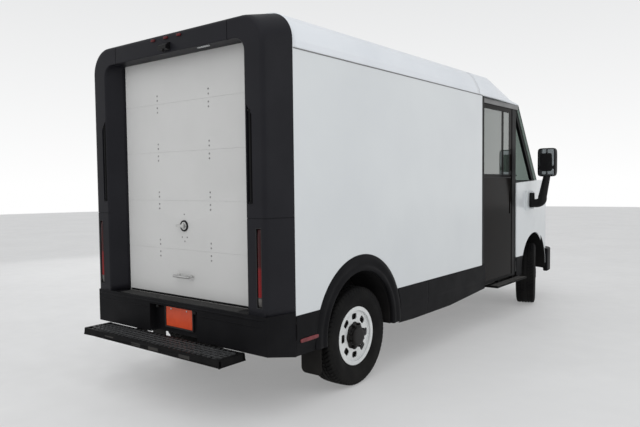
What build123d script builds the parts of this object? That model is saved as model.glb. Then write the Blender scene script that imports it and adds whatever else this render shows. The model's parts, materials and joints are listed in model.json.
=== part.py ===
from build123d import *

import os
from math import cos, radians, sin, tan

# Walk-in mail delivery truck. Millimetres, +Z up, +Y forward, +X to the truck's right.
# The origin is on the ground, midway between the step's rear edge and the front bumper.

# Driving sizes
wheelbase = 3886
rear_overhang = 1011      # rear axle back to the rear face of the surround
front_overhang = 893      # front axle forward to the bumper
step_reach = 250          # step's rear edge behind the surround
body_half = 989           # half of the body's width, outside the side panels
roof_top = 2705
floor_top = 704
tyre_radius = 380
tyre_width = 225
wheel_x = 843             # middle of each wheel, from the centre line
rim_radius = 203
steer_at_rest = 18        # front wheels are parked turned to the left, degrees

# Clearances
running_fit = 0.05        # radial, shaft in its hole
slide_gap = 0.5           # between a sliding door and its rail or sill
door_side_gap = 3         # roll-up door edge to its side guide

# Stations along the truck
step_end = -(step_reach + rear_overhang + wheelbase + front_overhang) / 2
rear_face = step_end + step_reach
rear_axle = rear_face + rear_overhang
front_axle = rear_axle + wheelbase
nose_tip = front_axle + front_overhang
panel_start = rear_face + 236
panel_end = front_axle - 1669
door_rear = front_axle - 1589
door_front = front_axle - 757
post_front = front_axle - 619
roof_joint = front_axle - 1729

# Walls and heights
skin = 24                 # side and roof panel thickness
inner_half = body_half - skin
floor_thick = 34
floor_base = floor_top - floor_thick
eave = 2436               # seam between side panel and roof
panel_base = 677
rail_x = 430
rail_width = 70
rail_height = 150
rail_base = floor_base - rail_height
axle_z = tyre_radius

# Rear doorway and surround
face_half = 941           # surround's half width at its rear face
face_top = 2634
shoulder_top = 2683
doorway_half = 781        # at the rear face
jamb_half = 690           # at the roll-up door
doorway_top = 2499
jamb_depth = 128
surround_wall = 22
jamb_wall = 18
lamp_x = (863, 908)
lamp_z = (756, 1271)
lamp_depth = 14
grab_x = (790, 838)
grab_z = (1428, 2069)
grab_radius = 11

# Roll-up door
panel_count = 5
panel_pitch = 366
panel_thick = 30
panel_gap = 2
panel_half = jamb_half + 10
door_face = rear_face + jamb_depth + 2
door_back = door_face + panel_thick
hinge_line = door_back + 10   # hinge pins, inside the door
hinge_x = 290
hinge_half = 80
ear_width = 40
knuckle_radius = 9
hinge_pin_radius = 5
latch_z = 1249
latch_shaft = 8

# Rear bumper and step
bumper_half = 947
bumper_base = 446
bumper_wall = 22
recess_half = 270
recess_depth = 70
recess_top = 660
plate_width = 305
plate_height = 152
step_half = 765
step_top = 455
step_thick = 50

# Wheel arches
arch_radius = 440
cladding_radius = 568
crest_radius = 530        # raised part of the arch trim
rear_arch_z = 443
front_arch_z = 464
well_inner = 640          # inboard wall of the rear wheel boxes
front_well_radius = 500
front_well_inner = 480
liner = 8
cladding_base = 402

# Cab
door_x = (908, 945)       # sliding door, inner and outer faces
door_base = 470
header_base = 2376
cab_half = 945            # across the front posts
fender_top = 1528
nose_base = 650
cowl_z = 1560
fender_half = 955
nose_front = front_axle + 803
nose_wall = 25
screen_lean = 36.4        # windscreen from the vertical, degrees
screen_side = front_axle + 101    # windscreen's outer edges at the cowl
screen_bulge = 330
glass_thick = 6
kingpin_x = 700
kingpin_radius = 12
stub_radius = 28
seat_x = -430


def block(x, y, z, mode=Mode.ADD):
    """Box between a pair of limits on each axis."""
    with Locations(((x[0] + x[1]) / 2, (y[0] + y[1]) / 2, (z[0] + z[1]) / 2)):
        Box(x[1] - x[0], y[1] - y[0], z[1] - z[0], mode=mode)


def rod(start, end, radius, mode=Mode.ADD):
    """Round bar from one point to another."""
    path = Vector(*end) - Vector(*start)
    with BuildSketch(Plane(origin=start, z_dir=path.normalized())) as section:
        Circle(radius)
    extrude(section.sketch, amount=path.length, mode=mode)


def side_plate(points, x, mode=Mode.ADD):
    """Flat outline of (y, z) points, between two x limits."""
    with BuildSketch(Plane.YZ.offset(x[0])) as outline:
        with BuildLine():
            Polyline(*points, close=True)
        make_face()
    extrude(outline.sketch, amount=x[1] - x[0], mode=mode)


def side_disc(y, z, radius, x, mode=Mode.ADD):
    """Disc across the truck at (y, z), between two x limits."""
    rod((x[0], y, z), (x[1], y, z), radius, mode)


def portal(y, half, base, top, radius):
    """Doorway-shaped section across the truck: square feet and rounded top corners."""
    with BuildSketch(Plane.XZ.offset(-y)) as section:
        with Locations((0, (base + top) / 2)):
            Rectangle(2 * half, top - base)
        fillet(section.vertices().group_by(Axis.Z)[-1], radius)
    return section.sketch.face()


def save(piece, name):
    """Label a finished piece and write its STEP file."""
    piece.part.label = name
    export_step(piece.part, f"parts/{name}.step")


def save_mirrored(piece, name):
    """Write the left-hand copy of a right-hand piece."""
    with BuildPart() as copy:
        mirror(piece.part, about=Plane.YZ)
    save(copy, name)


os.makedirs("parts", exist_ok=True)

# ---------------------------------------------------------------- chassis
rail_side = (rail_x - rail_width / 2, rail_x + rail_width / 2)
rail_z = (rail_base, floor_base)
rail_y = (rear_face + 40, front_axle + 600)
outrigger_half = 880
outriggers = [rear_face + 300]
outrigger_step = (front_axle - 1090 - rear_axle - 640) / 4
for index in range(5):
    outriggers.append(rear_axle + 640 + index * outrigger_step)
outriggers.append(post_front - 60)

with BuildPart() as chassis_frame:
    block(rail_side, rail_y, rail_z)
    mirror(about=Plane.YZ)
    for y in (rail_y[0] + 120, rear_axle, front_axle - 500, front_axle + 560):
        block((-rail_x, rail_x), (y - 30, y + 30), (rail_base + 40, floor_base - 10))
    for y in outriggers:
        block((-outrigger_half, outrigger_half), (y - 30, y + 30), (floor_base - 70, floor_base))
save(chassis_frame, "chassis_frame")

battery_half = 700
spring_half_length = 600
battery_y = (rear_axle + spring_half_length + 50, front_axle - 560)
with BuildPart() as battery_pack:
    block((-battery_half, battery_half), battery_y, (300, rail_base))
    chamfer(battery_pack.faces().sort_by(Axis.Z)[0].edges(), 25)
    rib_pitch = (battery_y[1] - battery_y[0]) / 8
    for index in range(1, 8):
        rib_y = battery_y[0] + index * rib_pitch
        block((-660, 660), (rib_y - 15, rib_y + 15), (292, 300))
save(battery_pack, "battery_pack")

well_y = (rear_axle - arch_radius - liner, rear_axle + arch_radius + liner)
mat_half = well_inner - 20     # raised load mat between the wheel boxes
mat_thick = 3
mat_y = (rear_face + 210, panel_end - 98)
with BuildPart() as cargo_floor:
    block((-mat_half, mat_half), mat_y, (floor_top - 1, floor_top + mat_thick))
    block((-inner_half, inner_half), (rear_face + 120, front_axle - 2380), (floor_base, floor_top))
    block((-880, 880), (front_axle - 2380, door_rear), (floor_base, floor_top))
    block((-well_inner, well_inner), (door_rear, front_axle - 560), (floor_base, floor_top))
    block((-front_well_inner + 20, front_well_inner - 20), (front_axle - 560, front_axle + 150),
          (floor_base, floor_top))
    for side in (-1, 1):
        inboard = side * well_inner
        outboard = side * inner_half
        limits = (min(inboard, outboard), max(inboard, outboard))
        opening = (min(inboard + side * liner, side * inner_half),
                   max(inboard + side * liner, side * inner_half))
        side_disc(rear_axle, rear_arch_z, arch_radius + liner + 4, limits)
        side_disc(rear_axle, rear_arch_z, arch_radius + 4, opening, Mode.SUBTRACT)
        block(limits, (well_y[0] - 40, well_y[1] + 40), (-20, rail_base), Mode.SUBTRACT)
save(cargo_floor, "cargo_floor")

# ---------------------------------------------------------------- axles and springs
spring_eye_z = rail_base - 24
pad_z = axle_z + 60
with BuildPart() as drive_axle:
    rod((-750, rear_axle, axle_z), (750, rear_axle, axle_z), 45)
    rod((-190, rear_axle, axle_z), (190, rear_axle, axle_z), 125)
    with Locations((0, rear_axle + 150, axle_z)):
        Box(260, 220, 170)
    for side in (-1, 1):
        rod((side * 735, rear_axle, axle_z), (side * 750, rear_axle, axle_z), 150)
        rod((side * 750, rear_axle, axle_z), (side * 880, rear_axle, axle_z), stub_radius)
        block((side * rail_x - 40, side * rail_x + 40), (rear_axle - 60, rear_axle + 60),
              (axle_z, pad_z))
save(drive_axle, "drive_axle")

with BuildPart() as rear_springs:
    with BuildSketch(Plane.YZ.offset(rail_x - 32)):
        with BuildLine():
            leaf_low = ThreePointArc((rear_axle - spring_half_length, spring_eye_z - 18),
                                     (rear_axle, pad_z),
                                     (rear_axle + spring_half_length, spring_eye_z - 18))
            leaf_high = ThreePointArc((rear_axle - spring_half_length, spring_eye_z),
                                      (rear_axle, pad_z + 36),
                                      (rear_axle + spring_half_length, spring_eye_z))
            Line(leaf_low @ 0, leaf_high @ 0)
            Line(leaf_low @ 1, leaf_high @ 1)
        make_face()
    extrude(amount=64)
    block((rail_x - 38, rail_x + 38), (rear_axle - 70, rear_axle + 70), (pad_z, pad_z + 40))
    for y in (rear_axle - spring_half_length, rear_axle + spring_half_length):
        rod((rail_x - 35, y, spring_eye_z - 6), (rail_x + 35, y, spring_eye_z - 6), 20)
        block((rail_x - 35, rail_x + 35), (y - 22, y + 22), (spring_eye_z, rail_base))
    mirror(about=Plane.YZ)
save(rear_springs, "rear_springs")

arm_low_z = (262, 284)
arm_high_z = (478, 500)
strut_x = 590
tower_z = (565, 605)
rail_outer = rail_side[1]
with BuildPart() as front_subframe:
    block((-460, 460), (front_axle - 75, front_axle + 75), (430, rail_base))
    for side in (-1, 1):
        def across(near, far):
            """Limits between two distances from the centre line, on this side."""
            return (min(side * near, side * far), max(side * near, side * far))
        block(across(400, 460), (front_axle - 60, front_axle + 60), (arm_low_z[0], 430))
        block(across(460, kingpin_x + 20), (front_axle - 60, front_axle + 60), arm_low_z)
        for y in (front_axle - 82, front_axle + 62):
            block(across(440, kingpin_x - 26), (y, y + 20), arm_high_z)
        block(across(kingpin_x - 40, kingpin_x + 20), (front_axle - 82, front_axle + 82), arm_high_z)
        block(across(rail_outer, 650), (front_axle - 60, front_axle + 60), tower_z)
        rod((side * kingpin_x, front_axle, arm_low_z[0]), (side * kingpin_x, front_axle, arm_high_z[1]),
            kingpin_radius)
save(front_subframe, "front_subframe")

with BuildPart() as front_struts:
    with BuildSketch(Plane.XZ.offset(-front_axle)):
        with BuildLine():
            Polyline((strut_x, arm_low_z[1]), (strut_x + 45, arm_low_z[1]), (strut_x + 45, 300),
                     (strut_x + 55, 330), (strut_x + 42, 365), (strut_x + 55, 400), (strut_x + 42, 435),
                     (strut_x + 55, 465), (strut_x + 36, 505), (strut_x + 36, tower_z[0]),
                     (strut_x, tower_z[0]), close=True)
        make_face()
    revolve(axis=Axis((strut_x, front_axle, 0), (0, 0, 1)))
    mirror(about=Plane.YZ)
save(front_struts, "front_struts")

# ---------------------------------------------------------------- wheels and steering
bead_half = 82
tyre_shape = ((rim_radius, bead_half), (rim_radius + 23, bead_half), (290, tyre_width / 2),
              (335, tyre_width / 2), (tyre_radius - 10, tyre_width / 2 - 12), (tyre_radius, 82),
              (tyre_radius, -82), (tyre_radius - 10, 12 - tyre_width / 2), (335, -tyre_width / 2),
              (290, -tyre_width / 2), (rim_radius + 23, -bead_half), (rim_radius, -bead_half),
              (rim_radius, -bead_half + 16), (rim_radius + 23, -bead_half + 16),
              (295, 14 - tyre_width / 2), (335, 14 - tyre_width / 2), (tyre_radius - 22, -72),
              (tyre_radius - 22, 72), (335, tyre_width / 2 - 14), (295, tyre_width / 2 - 14),
              (rim_radius + 23, bead_half - 16), (rim_radius, bead_half - 16))
disc_x = 62               # wheel disc, outboard of the wheel's middle
hub_reach = 118           # hub's outer end
bore_depth = 70           # stub bore's blind end
stub_reach = 60           # stub's end in the front wheels


def wheel_turn(centre_x, centre_y, turn):
    """Axis of a wheel: its middle point and outward direction after steering."""
    side = 1 if centre_x > 0 else -1
    pivot = Vector(side * kingpin_x, centre_y, axle_z)
    arm = Vector(centre_x - side * kingpin_x, 0, 0).rotate(Axis.Z, turn)
    outward = Vector(side, 0, 0).rotate(Axis.Z, turn)
    return Plane(origin=pivot + arm, x_dir=(0, 0, 1), z_dir=outward)


def tyre_on(plane):
    """Hollow tyre, revolved about the wheel's axis."""
    section = Plane(origin=plane.origin, x_dir=plane.x_dir, z_dir=plane.x_dir.cross(plane.z_dir))
    with BuildPart() as tyre:
        with BuildSketch(section):
            with BuildLine():
                Polyline(*tyre_shape, close=True)
            make_face()
        revolve(axis=Axis(plane.origin, plane.z_dir))
    return tyre


def rim_on(plane):
    """Steel wheel: barrel, lips, dished disc with eight holes, hub and cap."""
    with BuildPart() as rim:
        for start, thick, radius in ((-bead_half, 2 * bead_half, rim_radius),
                                     (bead_half, 9, rim_radius + 22),
                                     (-bead_half - 9, 9, rim_radius + 22)):
            with BuildSketch(plane.offset(start)):
                Circle(radius)
                Circle(rim_radius - 9, mode=Mode.SUBTRACT)
            extrude(amount=thick)
        with BuildSketch(plane.offset(disc_x)):
            Circle(rim_radius - 8)
        extrude(amount=10)
        with BuildSketch(plane.offset(disc_x - 2)):
            with PolarLocations(148, 8):
                RectangleRounded(46, 62, 16)
        extrude(amount=20, mode=Mode.SUBTRACT)
        with BuildSketch(plane.offset(-30)):
            Circle(70)
        extrude(amount=hub_reach + 30)
        with BuildSketch(plane.offset(-31)):
            Circle(stub_radius + running_fit)
        extrude(amount=bore_depth + 31, mode=Mode.SUBTRACT)
        fillet(rim.faces().filter_by(lambda f: f.area > 0).sort_by(
            Axis(plane.origin, plane.z_dir))[-1].edges(), 14)
    return rim


corners = {
    "rear_right": (wheel_x, rear_axle, 0),
    "rear_left": (-wheel_x, rear_axle, 0),
    "front_right": (wheel_x, front_axle, steer_at_rest),
    "front_left": (-wheel_x, front_axle, steer_at_rest),
}
for corner, (x, y, turn) in corners.items():
    wheel_plane = wheel_turn(x, y, turn)
    save(tyre_on(wheel_plane), f"tyre_{corner}")
    save(rim_on(wheel_plane), f"wheel_{corner}")

for name, side in (("right", 1), ("left", -1)):
    turned = wheel_turn(side * wheel_x, front_axle, steer_at_rest)
    pivot = Vector(side * kingpin_x, front_axle, axle_z)
    with BuildPart() as knuckle:
        with BuildSketch(Plane.XY.offset(arm_low_z[1] + 1)):
            with Locations((pivot.X, pivot.Y)):
                Circle(32)
        extrude(amount=arm_high_z[0] - arm_low_z[1] - 2)
        with BuildSketch(Plane(origin=pivot, z_dir=turned.z_dir)):
            Circle(stub_radius)
        extrude(amount=wheel_x - kingpin_x + stub_reach)
        with BuildSketch(Plane(origin=pivot, z_dir=turned.z_dir).offset(34)):
            Circle(60)
        extrude(amount=60)
        with BuildSketch(Plane.XY.offset(arm_low_z[1])):
            with Locations((pivot.X, pivot.Y)):
                Circle(kingpin_radius + running_fit)
        extrude(amount=arm_high_z[0] - arm_low_z[1], mode=Mode.SUBTRACT)
    save(knuckle, f"knuckle_{name}")

# ---------------------------------------------------------------- body sides and roof
rib_pitch = 480
rib_first = rear_face + 420
rib_count = int((front_axle - 2400 - rib_first) / rib_pitch) + 1
with BuildPart() as side_panels:
    block((inner_half, body_half), (panel_start, panel_end), (panel_base, eave))
    for index in range(rib_count):
        rib_y = rib_first + index * rib_pitch
        over_wheel = abs(rib_y - rear_axle) < cladding_radius + 40
        rib_foot = rear_arch_z + cladding_radius + 20 if over_wheel else floor_top
        block((inner_half - 25, inner_half), (rib_y - 30, rib_y + 30), (rib_foot, eave))
    side_disc(rear_axle, rear_arch_z, cladding_radius + 0.5, (inner_half - 1, body_half + 1),
              Mode.SUBTRACT)
    mirror(about=Plane.YZ)
save(side_panels, "side_panels")


def roof_points(half, base, crease, shoulder, crown, inset):
    """Right half of a roof section as (x, z) points, from the eave up to the centre line."""
    return [(half - inset, base), (half - 4 - inset, crease - inset / 3),
            (half - 59 - inset * 0.8, shoulder - 90 - inset * 0.5),
            (half - 110 - inset * 0.5, shoulder - 35 - inset * 0.8),
            (half - 189, shoulder - inset), (half - 560, crown - 3 - inset), (0, crown - inset)]


def roof_section(y, half, base, crease, shoulder, crown, inset):
    """Closed roof section across the truck."""
    right = roof_points(half, base, crease, shoulder, crown, inset)
    left = [(-x, z) for x, z in reversed(right[:-1])]
    with BuildSketch(Plane.XZ.offset(-y)) as section:
        with BuildLine():
            Polyline(*right, *left, close=True)
        make_face()
    return section.sketch.face()


roof_full = (body_half, eave, eave + 52, roof_top - 15, roof_top)
roof_front = (cab_half + 5, eave, eave + 12, eave + 112, roof_top - 65)
roof_brow = (cab_half, eave - 60, eave - 50, eave + 60, roof_top - 115)
with BuildPart() as roof_panel:
    for inset, mode in ((0, Mode.ADD), (skin, Mode.SUBTRACT)):
        extrude(roof_section(panel_start, *roof_full, inset), amount=panel_start - roof_joint, mode=mode)
save(roof_panel, "roof_panel")

# Windscreen: a cylinder that leans back, so its section is an arc square to the lean
lean = radians(screen_lean)
screen_plane = Plane(origin=(0, screen_side, cowl_z), x_dir=(1, 0, 0), z_dir=(0, -sin(lean), cos(lean)))
screen_length = (eave - cowl_z) / cos(lean)


def behind_screen(thickness, start, end):
    """Everything behind the windscreen's outer face, set back by a thickness."""
    with BuildPart() as volume:
        with BuildSketch(screen_plane.offset(start)):
            with BuildLine():
                ThreePointArc((-cab_half, 0), (0, screen_bulge - thickness), (cab_half, 0))
                Polyline((cab_half, 0), (cab_half + 60, 0), (cab_half + 60, -4500),
                         (-cab_half - 60, -4500), (-cab_half - 60, 0), (-cab_half, 0))
            make_face()
        extrude(amount=end - start)
    return volume.part


with BuildPart() as windshield:
    with BuildSketch(screen_plane.offset(-400)):
        with BuildLine():
            ThreePointArc((-cab_half, 0), (0, screen_bulge), (cab_half, 0))
            ThreePointArc((-cab_half + 8, 0), (0, screen_bulge - glass_thick), (cab_half - 8, 0))
            Line((-cab_half, 0), (-cab_half + 8, 0))
            Line((cab_half - 8, 0), (cab_half, 0))
        make_face()
    extrude(amount=400 + screen_length)
    split(bisect_by=Plane.XY.offset(cowl_z), keep=Keep.TOP)
save(windshield, "windshield")

crown_fall = front_axle - 1257
with BuildPart() as cab_roof:
    for inset, mode in ((0, Mode.ADD), (skin, Mode.SUBTRACT)):
        loft([roof_section(roof_joint, *roof_full, inset),
              roof_section(crown_fall, *roof_full, inset),
              roof_section(front_axle - 544, *roof_front, inset),
              roof_section(front_axle - 200, *roof_brow, inset)], ruled=True, mode=mode)
    add(behind_screen(0, -200, screen_length + 1600), mode=Mode.INTERSECT)
    block((-1100, 1100), (post_front + 60, nose_tip), (eave - 300, eave), Mode.SUBTRACT)
    add(windshield.part, mode=Mode.SUBTRACT)
save(cab_roof, "cab_roof")

# ---------------------------------------------------------------- rear surround, bumper, step
with BuildPart() as rear_surround:
    loft([portal(rear_face, face_half, floor_top, face_top, 190),
          portal(panel_start, body_half, floor_top, shoulder_top, 190)])
    loft([portal(rear_face + surround_wall, face_half - 20, floor_top + 20, face_top - 18, 172),
          portal(panel_start, body_half - skin, floor_top + 20, shoulder_top - skin, 172)],
         mode=Mode.SUBTRACT)
    loft([portal(rear_face, doorway_half + jamb_wall, floor_top, doorway_top + jamb_wall, 95),
          portal(rear_face + jamb_depth, jamb_half + jamb_wall, floor_top, doorway_top + jamb_wall, 95)])
    loft([portal(rear_face, doorway_half, floor_top, doorway_top, 85),
          portal(rear_face + jamb_depth, jamb_half, floor_top, doorway_top, 85)], mode=Mode.SUBTRACT)
    block((-760, 760), (rear_face + jamb_depth, panel_start + 1), (floor_top - 1, floor_top + 21),
          Mode.SUBTRACT)
    for side in (-1, 1):
        slot = (min(side * lamp_x[0], side * lamp_x[1]), max(side * lamp_x[0], side * lamp_x[1]))
        block(slot, (rear_face, rear_face + lamp_depth), lamp_z, Mode.SUBTRACT)
        slot = (min(side * grab_x[0], side * grab_x[1]), max(side * grab_x[0], side * grab_x[1]))
        block(slot, (rear_face, rear_face + 48), grab_z, Mode.SUBTRACT)
save(rear_surround, "rear_surround")

grab_middle = (grab_x[0] + grab_x[1]) / 2
with BuildPart() as grab_bars:
    rod((grab_middle, rear_face + grab_radius, grab_z[0]),
        (grab_middle, rear_face + grab_radius, grab_z[1]), grab_radius)
    mirror(about=Plane.YZ)
save(grab_bars, "grab_bars")

with BuildPart() as tail_lamps:
    block(lamp_x, (rear_face + 2, rear_face + lamp_depth), lamp_z)
    mirror(about=Plane.YZ)
save(tail_lamps, "tail_lamps")

marker_z = (488, 516)
with BuildPart() as marker_lamps:
    for x in (-146, 0, 146):
        block((x - 24, x + 24), (rear_face - 8, rear_face), (face_top - 40, face_top - 18))
    for side in (-1, 1):
        outer = side * (body_half + 1)
        block((min(outer, outer + side * 6), max(outer, outer + side * 6)),
              (rear_face + 271, rear_axle - crest_radius - 4), marker_z)
save(marker_lamps, "marker_lamps")

with BuildPart() as rear_camera:
    side_plate(((rear_face, 2572), (rear_face - 42, 2546), (rear_face - 42, 2520), (rear_face, 2512)),
               (-45, 45))
    rod((0, rear_face - 30, 2525), (0, rear_face - 30, 2508), 11)
save(rear_camera, "rear_camera")

guide_y = (rear_face + jamb_depth, door_back + 24)
guide_x = panel_half + door_side_gap
with BuildPart() as door_tracks:
    block((guide_x, guide_x + 5), guide_y, (floor_top, doorway_top + 60))
    block((guide_x, guide_x + 40), (guide_y[1], guide_y[1] + 6), (floor_top, doorway_top + 60))
    mirror(about=Plane.YZ)
save(door_tracks, "door_tracks")

bumper_y = (rear_face, panel_start)
with BuildPart() as rear_bumper:
    with BuildSketch(Plane.XY.offset(cladding_base - 10)):
        with BuildLine():
            Polyline((-bumper_half, bumper_y[0]), (bumper_half, bumper_y[0]), (body_half, bumper_y[1] - 10),
                     (body_half, bumper_y[1]), (-body_half, bumper_y[1]), (-body_half, bumper_y[1] - 10),
                     close=True)
        make_face()
    extrude(amount=floor_top - cladding_base + 10)
    with BuildSketch(Plane.YZ):
        with BuildLine():
            Polyline((bumper_y[0], bumper_base), (bumper_y[1], cladding_base),
                     (bumper_y[1], floor_top), (bumper_y[0], floor_top), close=True)
        make_face()
    extrude(amount=1200, both=True, mode=Mode.INTERSECT)
    block((-bumper_half + bumper_wall, bumper_half - bumper_wall),
          (bumper_y[0] + bumper_wall, bumper_y[1] + 1), (300, floor_top - bumper_wall), Mode.SUBTRACT)
    block((-recess_half - 10, recess_half + 10), (bumper_y[0] + 10, bumper_y[0] + recess_depth + 10),
          (bumper_base, recess_top + 10))
    block((-recess_half, recess_half), (bumper_y[0] - 1, bumper_y[0] + recess_depth),
          (bumper_base - 60, recess_top), Mode.SUBTRACT)
    block((-inner_half, inner_half), (rear_face + 120, panel_start + 60), (floor_base - 1, floor_top + 1),
          Mode.SUBTRACT)
save(rear_bumper, "rear_bumper")

plate_z = 570
plate_back = rear_face + recess_depth
with BuildPart() as licence_plate:
    block((-plate_width / 2 - 8, plate_width / 2 + 8), (plate_back - 8, plate_back),
          (plate_z - plate_height / 2 - 8, plate_z + plate_height / 2 + 8))
    block((-plate_width / 2, plate_width / 2), (plate_back - 11, plate_back - 8),
          (plate_z - plate_height / 2, plate_z + plate_height / 2))
save(licence_plate, "licence_plate")

step_front = rear_face - 20
mesh_columns = 24
mesh_rows = 4
cell_x = (2 * step_half - 60) / mesh_columns
cell_y = (step_front - step_end - 30) / mesh_rows
with BuildPart() as rear_step:
    block((-step_half, step_half), (step_end, step_front), (step_top - step_thick, step_top))
    with BuildSketch(Plane.XY.offset(step_top)):
        with Locations((0, (step_end + step_front) / 2)):
            with GridLocations(cell_x, cell_y, mesh_columns, mesh_rows):
                Rectangle(cell_x - 12, cell_y - 10)
    extrude(amount=-step_thick, mode=Mode.SUBTRACT)
    for side in (-1, 1):
        x = (side * rail_x - 30, side * rail_x + 30)
        block(x, (step_front, rear_face + 120), (step_top - 40, step_top - 15))
        block(x, (rear_face + 90, rear_face + 120), (step_top - 40, rail_base))
save(rear_step, "rear_step")

# ---------------------------------------------------------------- lower trim
sill_end = door_rear
side_trim = (inner_half, body_half + 1)
with BuildPart() as lower_cladding:
    side_disc(rear_axle, rear_arch_z, cladding_radius, (inner_half, body_half + 1))
    side_disc(rear_axle, rear_arch_z, crest_radius, (inner_half, body_half + 14))
    side_plate(((bumper_y[1], cladding_base), (rear_axle, cladding_base), (rear_axle, panel_base),
                (bumper_y[1], panel_base)), side_trim)
    side_plate(((rear_axle, cladding_base), (rear_axle + 800, 372), (sill_end - 800, 372),
                (sill_end, cladding_base + 20), (sill_end, panel_base), (rear_axle, panel_base)), side_trim)
    side_disc(rear_axle, rear_arch_z, arch_radius, (inner_half - 1, body_half + 20), Mode.SUBTRACT)
    block((inner_half - 1, body_half + 20), (rear_axle - 700, rear_axle + 700), (-200, cladding_base),
          Mode.SUBTRACT)
    block((780, inner_half + 2), (rear_axle - 491, rear_axle - 481), (cladding_base + 30, 600))
    side_plate(((post_front, 420), (post_front + 200, 420), (post_front + 200, nose_base),
                (post_front, nose_base)), (fender_half - nose_wall, fender_half + 2))
    side_disc(front_axle, front_arch_z, arch_radius, (920, 960), Mode.SUBTRACT)
    mirror(about=Plane.YZ)
save(lower_cladding, "lower_cladding")

with BuildPart() as mud_flaps:
    with BuildSketch(Plane.XZ.offset(-(rear_axle - 481))):
        with Locations((871, 350)):
            Rectangle(182, 316)
        fillet(vertices().group_by(Axis.Y)[0], 40)
    extrude(amount=-8)
    mirror(about=Plane.YZ)
save(mud_flaps, "mud_flaps")

cab_step_y = (door_rear + 190, door_front + 230)
with BuildPart() as cab_steps:
    block((900, 1050), cab_step_y, (400, 420))
    for y in (outriggers[-2], outriggers[-1]):
        block((outrigger_half + 10, 940), (y - 30, y + 30), (420, 445))
    mirror(about=Plane.YZ)
save(cab_steps, "cab_steps")

# ---------------------------------------------------------------- cab
with BuildPart() as cab_frame:
    block((905, 948), (front_axle - 2360, front_axle - 560), (header_base, eave))
    block((890, cab_half), (door_front + 25, post_front), (445, header_base))
    block((outrigger_half, 900), (front_axle - 2340, door_front + 25), (445, floor_base))
    block((outrigger_half, 948), (front_axle - 2340, door_front + 25), (445, door_base - slide_gap))
    side_plate(((front_axle - 560, eave), (screen_side - 30, cowl_z), (screen_side - 110, cowl_z),
                (front_axle - 640, eave)), (885, cab_half - 24))
    block((door_x[1] + 4, inner_half), (panel_end - 20, door_rear + 20), (door_base, eave))
    block((0, 905), (panel_end + 40, panel_end + 100), (header_base, eave))
    block((0, 905), (front_axle - 700, front_axle - 615), (header_base, eave))
    mirror(about=Plane.YZ)
save(cab_frame, "cab_frame")

window_z = (1625, 2330)
panes = ((door_rear + 42, door_rear + 548), (door_rear + 588, door_front - 70))
with BuildPart() as cab_door_right:
    block(door_x, (door_rear, door_front), (door_base, header_base - slide_gap))
    for pane in panes:
        block((door_x[0] - 1, door_x[1] + 1), pane, window_z, Mode.SUBTRACT)
    block((door_x[1] - 14, door_x[1] + 1), (door_front - 64, door_front - 30), (1180, 1420), Mode.SUBTRACT)
save(cab_door_right, "cab_door_right")
save_mirrored(cab_door_right, "cab_door_left")

with BuildPart() as door_glass_right:
    for pane in panes:
        block((door_x[1] - 8, door_x[1] - 2), pane, window_z)
save(door_glass_right, "door_glass_right")
save_mirrored(door_glass_right, "door_glass_left")

# Nose: one rounded shape, hollowed, then shared out between the fenders and the fascia
nose_profile = ((post_front, nose_base), (post_front, fender_top), (front_axle + 160, cowl_z),
                (front_axle + 509, cowl_z), (nose_front - 90, cowl_z - 150),
                (nose_front, cowl_z - 330), (nose_front, nose_base))


def nose_solid(wall):
    """Nose outline in plan and in side view, set in by a wall thickness."""
    with BuildPart() as nose:
        with BuildSketch(Plane.XY.offset(600)):
            with BuildLine():
                Polyline((-fender_half + wall, post_front - wall), (-fender_half + wall, front_axle + 60),
                         (-880 + wall, nose_front - wall), (880 - wall, nose_front - wall),
                         (fender_half - wall, front_axle + 60), (fender_half - wall, post_front - wall),
                         close=True)
            make_face()
            fillet(vertices().group_by(Axis.Y)[-1], 260 - wall)
        extrude(amount=1100)
        with BuildSketch(Plane.YZ):
            with BuildLine():
                foot = nose_base - 3 * wall
                crown = [(y, z - wall) for y, z in nose_profile[2:4]]
                brow = [(y - wall, z - wall / 2) for y, z in nose_profile[4:6]]
                Polyline((post_front - wall, foot), (post_front - wall, fender_top - wall), *crown, *brow,
                         (nose_front - wall, foot), close=True)
            make_face()
        extrude(amount=1100, both=True, mode=Mode.INTERSECT)
    return nose.part


with BuildPart() as nose_shell:
    add(nose_solid(0))
    add(nose_solid(nose_wall), mode=Mode.SUBTRACT)
    with BuildPart(mode=Mode.PRIVATE) as cabin_space:
        add(behind_screen(0, -1200, 400))
        block((-fender_half + nose_wall, fender_half - nose_wall), (post_front - 100, nose_tip), (fender_top - 60, 1800),
              Mode.INTERSECT)
    add(cabin_space.part, mode=Mode.SUBTRACT)
    for side in (-1, 1):
        rod((side * 600, front_axle, front_arch_z), (side * 1000, front_axle, front_arch_z), arch_radius,
            Mode.SUBTRACT)

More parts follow.
